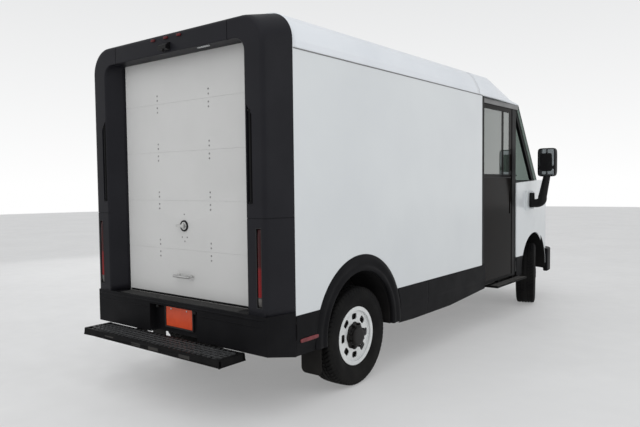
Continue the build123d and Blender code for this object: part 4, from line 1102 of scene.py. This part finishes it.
@dataclass
class WheelWells:
    """Dark liners inside the wheel boxes."""

    rear_axle: float = -1.759
    front_axle: float = 2.127

    def liner(self, y: float, z: float, radius: float, inner_x: float, outer_x: float) -> Surface:
        """Half a drum over the wheel and its inboard wall.

        The drum's row is an arc about the axle at one X, with shallow ribs; the wall's row is the
        same arc at a smaller radius, from the rim in to the middle.

        Args:
            y: The arch's centre along the truck.
            z: The arch's centre above the ground.
            radius: The drum's radius.
            inner_x: The wall's place.
            outer_x: The drum's open end.

        Returns:
            The right-hand liner.
        """
        turn = np.radians(np.linspace(-6, 186, 97))
        x = np.linspace(outer_x, inner_x, 25)[:, None]
        ribbed = radius - 0.0012 * (np.sin(x * 160) > 0.3)
        drum = np.stack(np.broadcast_arrays(x, y + ribbed * np.cos(turn),
                                            z + ribbed * np.sin(turn)), axis=-1)
        shrink = np.linspace(1, 0.45, 8)[:, None] * (radius - 0.001)
        wall = np.stack(np.broadcast_arrays(np.full_like(shrink, inner_x),
                                            y + shrink * np.cos(turn),
                                            z + shrink * np.sin(turn)), axis=-1)
        return Surface.join([Surface.grid(drum), Surface.grid(wall)])

    def build(self) -> None:
        """Lines all four wheel boxes."""
        for name, axle, arch_z, radius, inner_x, outer_x in (
                ("rear_well_liners", self.rear_axle, 0.443, 0.4432, 0.6488, 0.9640),
                ("front_well_liners", self.front_axle, 0.464, 0.4912, 0.4886, 0.9290)):
            liner = self.liner(axle, arch_z, radius, inner_x, outer_x).both_sides()
            piece(name, liner, FLAP_RUBBER, wall=0.0006)


@dataclass
class Roof:
    """Rounded roof skins: cargo roof, cab roof and the drip rail between roof and side."""

    start: float = -2.534
    joint: float = 0.398
    fall: float = 0.870
    front: float = 1.583
    brow: float = 1.927
    eave: float = 2.436
    screen_side: float = 2.228
    cowl: float = 1.560
    lean: float = math.radians(36.4)
    bulge: float = 0.330
    half: float = 0.945

    def section(self, half: float, base: float, crease: float, shoulder: float,
                crown: float) -> np.ndarray:
        """Right half of a roof section as (X, Z), from the eave to the centre line."""
        return np.array([(half, base), (half - 0.004, crease), (half - 0.059, shoulder - 0.090),
                         (half - 0.110, shoulder - 0.035), (half - 0.189, shoulder),
                         (half - 0.560, crown - 0.003), (0.0, crown)])

    def smoothed(self, control: np.ndarray) -> np.ndarray:
        """Section with its vertical eave kept and the rest turned into a smooth curve.

        Points after the crease follow a Catmull-Rom curve through the control points.
        """
        knots = np.vstack([control[1] * 2 - control[2], control[1:],
                           control[-2] * np.array([-1, 1])])
        share = np.linspace(0, 1, 9)[:-1, None]
        runs = []
        for k in range(1, len(knots) - 2):
            a, b, c, d = knots[k - 1:k + 3]
            runs.append(0.5 * (2 * b + (c - a) * share + (2 * a - 5 * b + 4 * c - d) * share ** 2
                               + (3 * b - a - 3 * c + d) * share ** 3))
        curve = np.vstack([*runs, control[-1:]])
        eave = control[0] + (control[1] - control[0]) * np.linspace(0, 0.94, 5)[:, None]
        return np.vstack([eave, curve])

    def skin(self, rows: np.ndarray) -> np.ndarray:
        """Roof points for each row's Y, which may differ by column.

        Args:
            rows: (rows, columns) of Y.

        Returns:
            (rows, columns, 3) points of the right half.
        """
        full = self.smoothed(self.section(0.989, self.eave, self.eave + 0.052, 2.690, 2.705))
        low = self.smoothed(self.section(0.950, self.eave, self.eave + 0.012, 2.548, 2.640))
        brow = self.smoothed(self.section(0.945, self.eave - 0.012, self.eave - 0.006, 2.496,
                                          2.590))
        stations = np.stack([full, full, low, brow])
        marks = np.array([self.start, self.fall, self.front, self.brow])
        place = np.interp(rows, marks, np.arange(4.0))
        index = np.clip(place.astype(int), 0, 2)
        share = (place - index)[..., None]
        columns = np.broadcast_to(np.arange(rows.shape[1]), rows.shape)
        xz = stations[index, columns] * (1 - share) + stations[index + 1, columns] * share
        return np.stack([xz[..., 0], rows, xz[..., 1]], axis=-1)

    def behind_screen(self, points: np.ndarray) -> np.ndarray:
        """Distance inside the windscreen's leaning cylinder, positive behind the glass."""
        radius = (self.half ** 2 + self.bulge ** 2) / (2 * self.bulge)
        depth = ((points[..., 1] - self.screen_side) * math.cos(self.lean)
                 + (points[..., 2] - self.cowl) * math.sin(self.lean))
        return radius - np.hypot(points[..., 0], depth + radius - self.bulge)

    def front_edge(self, columns: int, halvings: int = 30) -> np.ndarray:
        """Y at which each column of the skin meets the glass, by halving the interval."""
        near = np.full((1, columns), self.joint)
        far = np.full((1, columns), 2.05)
        for _ in range(halvings):
            middle = (near + far) / 2
            behind = self.behind_screen(self.skin(middle)) > 0.002
            near, far = np.where(behind, middle, near), np.where(behind, far, middle)
        return near[0]

    def mirrored_grid(self, right: np.ndarray) -> Surface:
        """Whole roof from its right half's grid."""
        left = right[:, -2::-1] * np.array([-1.0, 1.0, 1.0])
        return Surface.grid(np.concatenate([right, left], axis=1))

    def build(self) -> None:
        """Makes the two skins, the joint's sealing strip and the drip rails."""
        columns = len(self.smoothed(self.section(0.989, self.eave, self.eave + 0.052, 2.690,
                                                 2.705)))
        ends = self.front_edge(columns)
        cargo = np.linspace(self.start + 0.001, self.joint - 0.002, 40)[:, None] + np.zeros(
            (1, columns))
        piece("cargo_roof_skin", self.mirrored_grid(self.skin(cargo)), ROOF_WHITE,
              replaces=["roof_panel"], toward=(0, 0, 1), wall=0.02, smooth=40)
        share = np.linspace(0, 1, 46)[:, None] ** 0.9
        cab = self.joint + 0.002 + (ends[None, :] - self.joint - 0.002) * share
        piece("cab_roof_skin", self.mirrored_grid(self.skin(cab)), ROOF_WHITE,
              replaces=["cab_roof"], toward=(0, 0, 1), wall=0.02, smooth=40)
        strip = np.linspace(self.joint - 0.004, self.joint + 0.004, 3)[:, None] + np.zeros(
            (1, columns))
        seal = self.skin(strip) * np.array([0.9965, 1.0, 1.0]) - np.array([0, 0, 0.0035])
        piece("roof_joint_seal", self.mirrored_grid(seal), SEAM_BLACK,
              toward=(0, 0, 1), wall=0.008, smooth=40)
        rail_y = np.linspace(self.start + 0.004, 0.45, 60)[:, None]
        ring = arc_points(-80, 80, 7)
        x = 0.9885 + 0.0035 * ring[None, :, 0]
        z = self.eave + 0.0035 * ring[None, :, 1]
        rail = np.stack(np.broadcast_arrays(x, rail_y, z), axis=-1)
        piece("drip_rails", Surface.grid(rail).both_sides(), HEADER_SHADE_GREY,
              wall=0.001)


@dataclass
class CargoSides:
    """Flat white side panels and the dark strip along each one's front edge."""

    end: float = 0.458
    base: float = 0.677
    eave: float = 2.436
    face: float = 0.989

    def build(self) -> None:
        """Softens the panels and adds the trailing edge strip."""
        softened("side_panels", BODY_WHITE, 0.002)
        strip = box_surface((self.face - 0.004, self.end - 0.006, self.base + 0.002),
                            (self.face + 0.002, self.end + 0.004, self.eave - 0.003))
        piece("door_edge_strips", strip.both_sides(), POST_BLACK, closed=True,
              bevel=0.0015)


# ------------------------------------------------------------------ wheels
@dataclass
class RoadWheels:
    """Four wheels: treaded tyre, silver disc wheel, black hub, nuts and brake drum."""

    radius: float = 0.380
    pitch_count: int = 66
    wheel_x: float = 0.843
    kingpin_x: float = 0.700
    axle_z: float = 0.380
    rear_axle: float = -1.759
    front_axle: float = 2.127
    steer: float = math.radians(18)

    def tyre(self) -> Surface:
        """Tyre with tread.

        The section runs from bead to bead. On the tread, depth is taken away where a point lies
        in one of four grooves round the tyre, or in a lateral cut whose angle leans with the
        distance from the middle; shoulder lugs repeat at the same pitch.
        """
        wall = [(0.2035, 0.080), (0.212, 0.0862), (0.222, 0.0875), (0.232, 0.089),
                (0.248, 0.0985), (0.262, 0.105), (0.268, 0.1062), (0.272, 0.1082),
                (0.286, 0.1112), (0.300, 0.1122), (0.314, 0.1118), (0.327, 0.1102),
                (0.3325, 0.1105), (0.337, 0.1098), (0.345, 0.1082), (0.353, 0.1062),
                (0.361, 0.1035), (0.367, 0.1005), (0.372, 0.0965), (0.3755, 0.0915)]
        tread_x = np.linspace(0.086, 0.0, 35)
        tread_r = self.radius - 0.0035 * (tread_x / 0.086) ** 2
        right = np.vstack([np.array(wall), np.stack([tread_r, tread_x], axis=-1)])
        left = right[-2::-1] * np.array([1.0, -1.0])
        section = np.vstack([right, left])
        inner = np.array([(0.2035, -0.066), (0.226, -0.072), (0.29, -0.097), (0.34, -0.092),
                          (0.356, 0.0), (0.34, 0.092), (0.29, 0.097), (0.226, 0.072),
                          (0.2035, 0.066)])
        profile = np.vstack([section, inner])
        across = np.abs(profile[:, 1])
        on_tread = (profile[:, 0] > 0.366)
        on_shoulder = (profile[:, 0] > 0.344) & ~on_tread & (across > 0.09)
        on_tread[len(section):] = False
        on_shoulder[len(section):] = False
        steps = self.pitch_count * 8

        def cut(turn: np.ndarray) -> np.ndarray:
            rounds = np.zeros(len(profile))
            for groove, wide in ((0.018, 0.005), (0.052, 0.005)):
                rounds = np.maximum(rounds, np.abs(across - groove) < wide)
            lean = 0.55 * np.sin(profile[:, 1] * 38)
            phase = (turn * self.pitch_count / (2 * np.pi) + lean[None, :]) % 1
            sipe = (phase < 0.26) * (across > 0.022)
            lug = (((turn * self.pitch_count / (2 * np.pi)) % 1) < 0.42) * on_shoulder
            depth = 0.0085 * np.maximum(rounds, sipe * 0.9) * on_tread
            return -(depth + 0.0045 * lug)
        return lathe(profile, steps, cut, closed=True)

    def hub(self) -> Surface:
        """Black hub: flange, round-shouldered cap, and eight lobes round its foot.

        The cap's radius is its section's plus a cosine of eight waves that fades off the flange.
        """
        section = np.array([(0.0005, 0.1215), (0.030, 0.1213), (0.048, 0.1208), (0.060, 0.1198),
                            (0.0675, 0.1178), (0.0715, 0.1140), (0.0732, 0.1080),
                            (0.0738, 0.1000), (0.0790, 0.0992), (0.0805, 0.0960),
                            (0.0812, 0.0880), (0.0830, 0.0830), (0.0900, 0.0815),
                            (0.0985, 0.0800), (0.1030, 0.0770), (0.1045, 0.0725)])
        wave = np.clip((section[:, 0] - 0.075) / 0.02, 0, 1) * 0.004

        def lobes(turn: np.ndarray) -> np.ndarray:
            return wave[None, :] * np.cos(8 * turn)
        cap = lathe(section, 96, lobes)
        nuts = []
        for turn in np.radians(np.arange(8) * 45 + 22.5):
            ring = arc_points(0, 300, 6) * 0.0105
            rows = [np.column_stack([np.full(6, depth), 0.0920 * math.sin(turn) + ring[:, 0] * grow,
                                     0.0920 * math.cos(turn) + ring[:, 1] * grow])
                    for depth, grow in ((0.079, 1.0), (0.096, 1.0), (0.102, 0.7), (0.104, 0.1))]
            nuts.append(Surface.grid(np.stack(rows), wrap_columns=True, caps=True))
        return Surface.join([cap, *nuts])

    def axes(self, side: int, turn: float) -> np.ndarray:
        """Rows are the wheel's own X (outboard), Y and Z axes in the truck's frame."""
        outward = np.array([side * math.cos(turn), side * math.sin(turn), 0.0])
        up = np.array([0.0, 0.0, 1.0])
        return np.stack([outward, np.cross(up, outward), up])

    def build(self) -> None:
        """Makes each wheel in its place."""
        tyre, hub = self.tyre(), self.hub()
        drum = lathe(np.array([(0.0710, 0.030), (0.0720, 0.046), (0.110, 0.050), (0.150, 0.048),
                               (0.172, 0.040), (0.176, 0.020), (0.176, -0.040)]), 96)
        for name, side, y, turn in (("rear_right", 1, self.rear_axle, 0.0),
                                    ("rear_left", -1, self.rear_axle, 0.0),
                                    ("front_right", 1, self.front_axle, self.steer),
                                    ("front_left", -1, self.front_axle, self.steer)):
            axes = self.axes(side, turn)
            pivot = np.array([side * self.kingpin_x, y, self.axle_z])
            arm = axes[0] * (self.wheel_x - self.kingpin_x)
            body = f"road_wheel_{name}"
            piece(f"tyre_tread_{name}", tyre.seen_from(axes, pivot + arm), TYRE_RUBBER, body,
                  [f"tyre_{name}"], closed=True, smooth=28)
            softened(f"wheel_{name}", WHEEL_SILVER, 0.003)
            piece(f"hub_cap_{name}", hub.seen_from(axes, pivot + arm), HUB_BLACK, body,
                  toward=tuple(axes[0]), smooth=40)
            piece(f"brake_drum_{name}", drum.seen_from(axes, pivot + arm), FLAP_RUBBER, body,
                  wall=0.002, smooth=40)


# ------------------------------------------------------------------ cab
@dataclass
class Mirrors:
    """Door mirrors: pivot barrel, cranked arm, main head and spot head."""

    pivot_x: float = 0.999
    pivot_y: float = 1.907

    def build(self) -> None:
        """Makes both mirrors on their own arms."""
        px, py = self.pivot_x, self.pivot_y
        barrel = tube([(px, py, 1.2262), (px, py, 1.24), (px, py, 1.315), (px, py, 1.39),
                       (px, py, 1.4038)], (0.028, 0.031, 0.034, 0.031, 0.028), 24)
        bend = rounded_corner((px, py, 1.280), (px + 0.135, py, 1.262), (px + 0.128, py, 1.36), 9)
        rise = np.linspace((px + 0.135, py, 1.39), (px + 0.180, py, 1.615), 6)
        arm = tube(np.vstack([bend, rise]), np.interp(np.linspace(0, 1, 15), (0, 0.4, 1),
                                                      (0.050, 0.054, 0.040)), 22)
        head = pillow_box((px + 0.1825, py, 1.770), (0.1075, 0.045, 0.170), 7, 41, 72)
        lip = pillow_box((px + 0.1825, py - 0.030, 1.770), (0.104, 0.0135, 0.166), 9, 31, 72)
        black = Surface.join([barrel, arm, head, lip])
        glass = []
        for centre_z, half_z in ((1.822, 0.105), (1.652, 0.040)):
            glass.append(pillow_box((px + 0.1825, py - 0.0425, centre_z),
                                    (0.088, 0.0022, half_z), 9, 15, 56))
        faces = Surface.join(glass)
        for side, name in ((1, "right"), (-1, "left")):
            body = f"mirror_arm_{name}"
            case, mirror = (black, faces) if side > 0 else (black.mirrored(), faces.mirrored())
            piece(f"mirror_case_{name}", case, CAMERA_BLACK, body,
                  [f"mirror_{name}"], closed=True)
            piece(f"mirror_glass_{name}", mirror, MIRROR_FACE, body, closed=True)


@dataclass
class Cab:
    """Sliding doors, posts, nose, glass, lamps and steps."""

    door_rear: float = 0.538
    door_front: float = 1.370

    def build(self) -> None:
        """Dresses the cab's outside."""
        for side in ("right", "left"):
            softened(f"cab_door_{side}", GLOSS_BLACK, 0.003, 3)
            paint(f"door_glass_{side}", PRIVACY_GLASS)
        for node, finish, width, slot, segments in (
                ("cab_frame", POST_BLACK, 0.003, "frame_black", 2),
                ("front_fenders", BODY_WHITE, 0.014, "body_white", 4),
                ("front_fascia", BODY_WHITE, 0.014, "body_white", 4),
                ("front_bumper", TRIM_PLASTIC, 0.014, "trim_black", 4),
                ("headlamps", CLEAR_LENS, 0.006, "lamp_clear", 3),
                ("cab_steps", STEP_BLACK, 0.003, "step_grating", 2)):
            softened(node, finish, width, segments)
        paint("windshield", WINDSCREEN)
        softened("wiper_right", CAMERA_BLACK, 0.0015)
        softened("wiper_left", CAMERA_BLACK, 0.0015)
        self.door_trim()
        self.step_grips()
        self.markers()
        self.nose_trim()

    def door_trim(self) -> None:
        """Door header bands in painted-shade grey, window gaskets and the sill's pull rail."""
        # The band's grey is painted shade: the header is white paint in shade.
        band = box_surface((0.940, self.door_rear - 0.06, 2.3795), (0.9505, 1.560, 2.4335))
        piece("door_header_bands", band.both_sides(), HEADER_SHADE_GREY,
              closed=True, bevel=0.003)
        gaskets = []
        for y0, y1 in ((self.door_rear + 0.042, self.door_rear + 0.548),
                       (self.door_rear + 0.588, self.door_front - 0.070)):
            for low, high in (((0.9438, y0 - 0.006, 1.619), (0.9462, y0 + 0.004, 2.336)),
                              ((0.9438, y1 - 0.004, 1.619), (0.9462, y1 + 0.006, 2.336)),
                              ((0.9438, y0, 1.619), (0.9462, y1, 1.629)),
                              ((0.9438, y0, 2.326), (0.9462, y1, 2.336))):
                gaskets.append(box_surface(low, high))
        rail = box_surface((0.9438, self.door_rear + 0.01, 1.585),
                           (0.9462, self.door_front - 0.02, 1.600))
        shape = Surface.join([*gaskets, rail])
        for side, name in ((1, "right"), (-1, "left")):
            piece(f"window_gaskets_{name}", shape if side > 0 else shape.mirrored(), SEAM_BLACK,
                  f"sliding_door_{name}", closed=True, bevel=0.0006)

    def step_grips(self) -> None:
        """Raised grip strips on the cab steps."""
        start, end = self.door_rear + 0.21, self.door_front + 0.21
        strips = [box_surface((x, start, 0.4195), (x + 0.012, end, 0.4225))
                  for x in np.linspace(0.957, 1.032, 5)]
        piece("cab_step_grips", Surface.join(strips).both_sides(), GRIP_BLACK,
              closed=True, bevel=0.001)

    def markers(self) -> None:
        """Amber marker lamps on the fenders."""
        lamp = pillow_box((0.9535, 2.262, 1.234), (0.008, 0.034, 0.012), 4, 13, 36)
        piece("fender_markers", lamp.both_sides(), AMBER_LENS, closed=True)

    def nose_trim(self) -> None:
        """Grille slats between the headlamps, and headlamp bezels."""
        front = 2.930
        slats = [box_surface((-0.50, front - 0.004, z), (0.50, front + 0.010, z + 0.016))
                 for z in np.linspace(0.74, 0.90, 5)]
        piece("nose_slats", Surface.join(slats), TRIM_PLASTIC, closed=True,
              bevel=0.004)
        bezels = []
        for low, high in (((0.552, front, 0.972), (0.748, front + 0.012, 0.980)),
                          ((0.552, front, 1.080), (0.748, front + 0.012, 1.088)),
                          ((0.552, front, 0.972), (0.560, front + 0.012, 1.088)),
                          ((0.740, front, 0.972), (0.748, front + 0.012, 1.088))):
            bezels.append(box_surface(low, high))
        piece("headlamp_bezels", Surface.join(bezels).both_sides(), FRAME_BLACK,
              closed=True, bevel=0.002)


@dataclass
class CabInterior:
    """Seat, dash, steering wheel, pedals and bulkhead."""

    seat_x: float = -0.430
    seat_y: float = 1.207
    cushion_z: float = 1.060
    swell: float = 0.012

    def cushion(self, name: str, centre: Point, half: Point, lean: float) -> bpy.types.Object:
        """Crowned, piped seat pad, inflated as cloth.

        The pad starts as a rounded box, is remeshed evenly, blown up against its own weave with
        each point's travel capped, and then sewn: channels press in by a cosine of the width.
        """
        shape = pillow_box((0, 0, 0), half, 6, 29, 64)
        turn = np.array([(1, 0, 0), (0, math.cos(lean), math.sin(lean)),
                         (0, -math.sin(lean), math.cos(lean))])
        made = piece(name, shape.seen_from(turn, centre), SEAT_CLOTH,
                     closed=True, smooth=180)
        self.inflate(made)
        count = len(made.data.vertices)
        points = np.empty(count * 3)
        made.data.vertices.foreach_get("co", points)
        own = (points.reshape(-1, 3) - np.asarray(centre)) @ turn.T
        channel = np.exp(-((np.abs(own[:, 0]) - 0.105) / 0.006) ** 2)
        pull = np.exp(-((own[:, 1]) / 0.006) ** 2) * (np.abs(own[:, 0]) < 0.105)
        face = np.sign(own[:, 2]) * (np.abs(own[:, 2]) > half[2] * 0.5)
        own[:, 2] -= 0.007 * np.maximum(channel, pull) * face
        made.data.vertices.foreach_set("co", (own @ turn + np.asarray(centre)).ravel())
        made.data.update()
        return made

    def inflate(self, made: bpy.types.Object) -> None:
        """Blows a pad up with cloth pressure, caps the travel and leaves a plain mesh."""
        scene = bpy.context.scene
        remesh = made.modifiers.new("even", "REMESH")
        remesh.mode = "VOXEL"
        remesh.voxel_size = 0.008
        self.keep(made)
        rest = np.empty(len(made.data.vertices) * 3)
        made.data.vertices.foreach_get("co", rest)
        cloth = made.modifiers.new("pressure", "CLOTH")
        cloth.settings.use_pressure = True
        cloth.settings.uniform_pressure_force = 4
        cloth.settings.effector_weights.gravity = 0
        for step in range(1, 21):
            scene.frame_set(step)
        self.keep(made)
        scene.frame_set(1)
        blown = np.empty_like(rest)
        made.data.vertices.foreach_get("co", blown)
        move = (blown - rest).reshape(-1, 3)
        length = np.linalg.norm(move, axis=1, keepdims=True)
        move *= np.minimum(1, self.swell / np.maximum(length, 1e-9))
        made.data.vertices.foreach_set("co", (rest.reshape(-1, 3) + move).ravel())
        made.data.shade_smooth()

    def keep(self, made: bpy.types.Object) -> None:
        """Applies every modifier on a piece to its mesh."""
        graph = bpy.context.evaluated_depsgraph_get()
        mesh = bpy.data.meshes.new_from_object(made.evaluated_get(graph))
        made.modifiers.clear()
        made.data = mesh

    def build(self) -> None:
        """Makes the seat and dresses the rest of the inside."""
        back = math.atan2(0.090, 0.60)
        base = self.cushion("seat_squab",
                            (self.seat_x, self.seat_y + 0.285, self.cushion_z + 0.056),
                            (0.216, 0.178, 0.042), 0.0)
        self.cushion("seat_backrest", (self.seat_x, self.seat_y + 0.003, self.cushion_z + 0.40),
                     (0.216, 0.325, 0.040), math.pi / 2 + back)
        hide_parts("seat_cushions")
        softened("seat_base", SEAT_SHELL, 0.006, 3)
        softened("dashboard", DASH_PLASTIC, 0.010, 3)
        paint("steering_wheel", WHEEL_RIM_GRIP)
        softened("bulkhead", BULKHEAD_GREY, 0.003)
        softened("bulkhead_door", BULKHEAD_GREY, 0.004)
        softened("brake_pedal", CAST_IRON, 0.003)
        softened("accelerator_pedal", CAST_IRON, 0.003)


@dataclass
class Underbody:
    """Frame, battery, axles, springs and cargo deck."""

    def build(self) -> None:
        """Dresses the parts under the floor."""
        softened("chassis_frame", CHASSIS_BLACK, 0.004)
        softened("battery_pack", BATTERY_GREY, 0.006, 3)
        paint("drive_axle", CAST_IRON)
        paint("rear_springs", SPRING_STEEL)
        softened("front_subframe", CHASSIS_BLACK, 0.003)
        paint("front_struts", SPRING_STEEL)
        for side in ("right", "left"):
            paint(f"knuckle_{side}", CAST_IRON)
        softened("cargo_floor", CARGO_DECK, 0.002)
        softened("door_tracks", TRACK_STEEL, 0.0015)


# ------------------------------------------------------------------ studio
@dataclass(frozen=True)
class SoftBox:
    """Square area light: name, place, the point that it faces, side in metres and watts."""

    name: str
    place: Point
    aim: Point
    side: float
    power: float

    def build(self) -> None:
        """Hangs the light."""
        data = bpy.data.lights.new(self.name, "AREA")
        data.size = self.side
        data.energy = self.power
        lamp = bpy.data.objects.new(self.name, data)
        lamp.location = self.place
        way = Vector(self.aim) - Vector(self.place)
        lamp.rotation_mode = "QUATERNION"
        lamp.rotation_quaternion = way.to_track_quat("-Z", "Y")
        bpy.context.scene.collection.objects.link(lamp)


SOFT_BOXES = (SoftBox("overhead_softbox", (2.4, -5.0, 7.5), (0, -1, 0), 9.0, 190),
              SoftBox("right_softbox", (8.5, 1.5, 4.0), (0.9, -0.6, 1.3), 5.0, 70),
              SoftBox("rear_softbox", (-1.5, -10.5, 4.2), (0, -2.7, 1.3), 5.5, 25),
              SoftBox("left_fill", (-8.0, 2.0, 3.5), (0, 0, 1.2), 5.0, 60))


@dataclass
class Studio:
    """Pale floor, pale surroundings, soft lights and the camera."""

    eye: tuple[float, float, float] = (3.612, -5.591, 1.562)
    yaw: float = 0.668
    pitch: float = 0.051
    roll: float = -0.011
    lens: float = 34.54
    floor_radius: float = 32.0
    world_strength: float = 1.0

    def build(self) -> None:
        """Sets the stage."""
        self.floor()
        self.surroundings()
        for light in SOFT_BOXES:
            light.build()
        self.camera()

    def floor(self) -> None:
        """Large pale floor: rings of growing radius, so near ground is finely divided."""
        radius = np.concatenate([[0.01], np.geomspace(1, self.floor_radius, 24)])[:, None]
        turn = np.linspace(0, 2 * np.pi, 96, endpoint=False)[None, :]
        points = np.stack([radius * np.cos(turn), radius * np.sin(turn),
                           np.full((len(radius), 96), -0.0005)], axis=-1)
        surface = Surface.grid(points, wrap_columns=True)
        mesh = bpy.data.meshes.new("studio_floor")
        mesh.from_pydata(surface.points.tolist(), [], [tuple(reversed(f)) for f in surface.faces])
        made = bpy.data.objects.new("studio_floor", mesh)
        bpy.context.scene.collection.objects.link(made)
        finish = Finish("pale_studio_floor", linear(186, 186, 186), linear(180, 180, 180), 0.8,
                        (0.55, 0.7), Grain.CAST, 30, 0.04, glow=0.5)
        mesh.materials.append(finish.material())

    def surroundings(self) -> None:
        """Pale world: white at the horizon, softly grey overhead."""
        world = bpy.data.worlds.new("pale_room")
        bpy.context.scene.world = world
        world.use_nodes = True
        tree = world.node_tree
        back = tree.nodes["Background"]
        back.inputs["Strength"].default_value = self.world_strength
        where = tree.nodes.new("ShaderNodeTexCoord")
        split = tree.nodes.new("ShaderNodeSeparateXYZ")
        ramp = tree.nodes.new("ShaderNodeValToRGB")
        ramp.color_ramp.elements[0].position = 0.0
        ramp.color_ramp.elements[0].color = (1.0, 1.0, 1.0, 1)
        ramp.color_ramp.elements[1].position = 0.5
        ramp.color_ramp.elements[1].color = (0.66, 0.67, 0.68, 1)
        tree.links.new(where.outputs["Generated"], split.inputs["Vector"])
        tree.links.new(split.outputs["Z"], ramp.inputs["Fac"])
        tree.links.new(ramp.outputs["Color"], back.inputs["Color"])

    def camera(self) -> None:
        """Camera behind the truck's right rear corner.

        Its axes come from yaw, then pitch, then roll about the line of sight.
        """
        ahead = Vector((-math.sin(self.yaw) * math.cos(self.pitch),
                        math.cos(self.yaw) * math.cos(self.pitch), -math.sin(self.pitch)))
        right = Vector((math.cos(self.yaw), math.sin(self.yaw), 0))
        up = right.cross(ahead)
        tilted = right * math.cos(self.roll) + up * math.sin(self.roll)
        raised = up * math.cos(self.roll) - right * math.sin(self.roll)
        data = bpy.data.cameras.new("rear_quarter_camera")
        data.sensor_width = 36
        data.lens = self.lens
        data.clip_end = 400
        lens = bpy.data.objects.new("rear_quarter_camera", data)
        bpy.context.scene.collection.objects.link(lens)
        turn = np.stack([np.array(tilted), np.array(raised), -np.array(ahead)], axis=-1)
        lens.rotation_mode = "QUATERNION"
        lens.rotation_quaternion = Matrix(turn.tolist()).to_quaternion()
        lens.location = self.eye
        bpy.context.scene.camera = lens
        bpy.context.scene.view_settings.view_transform = "Standard"


def main() -> None:
    """Builds every sub-assembly in order."""
    logging.basicConfig(level=logging.INFO, format="%(name)s %(message)s")
    for assembly in (Studio(), RearSurround(), RollUpDoor(), RearBumper(), RearStep(),
                     LowerCladding(), WheelWells(), Roof(), CargoSides(), RoadWheels(), Mirrors(),
                     Cab(), CabInterior(), Underbody()):
        assembly.build()
        LOG.info("%s done", type(assembly).__name__)
    bpy.context.view_layer.update()


if __name__ == "__main__":
    main()
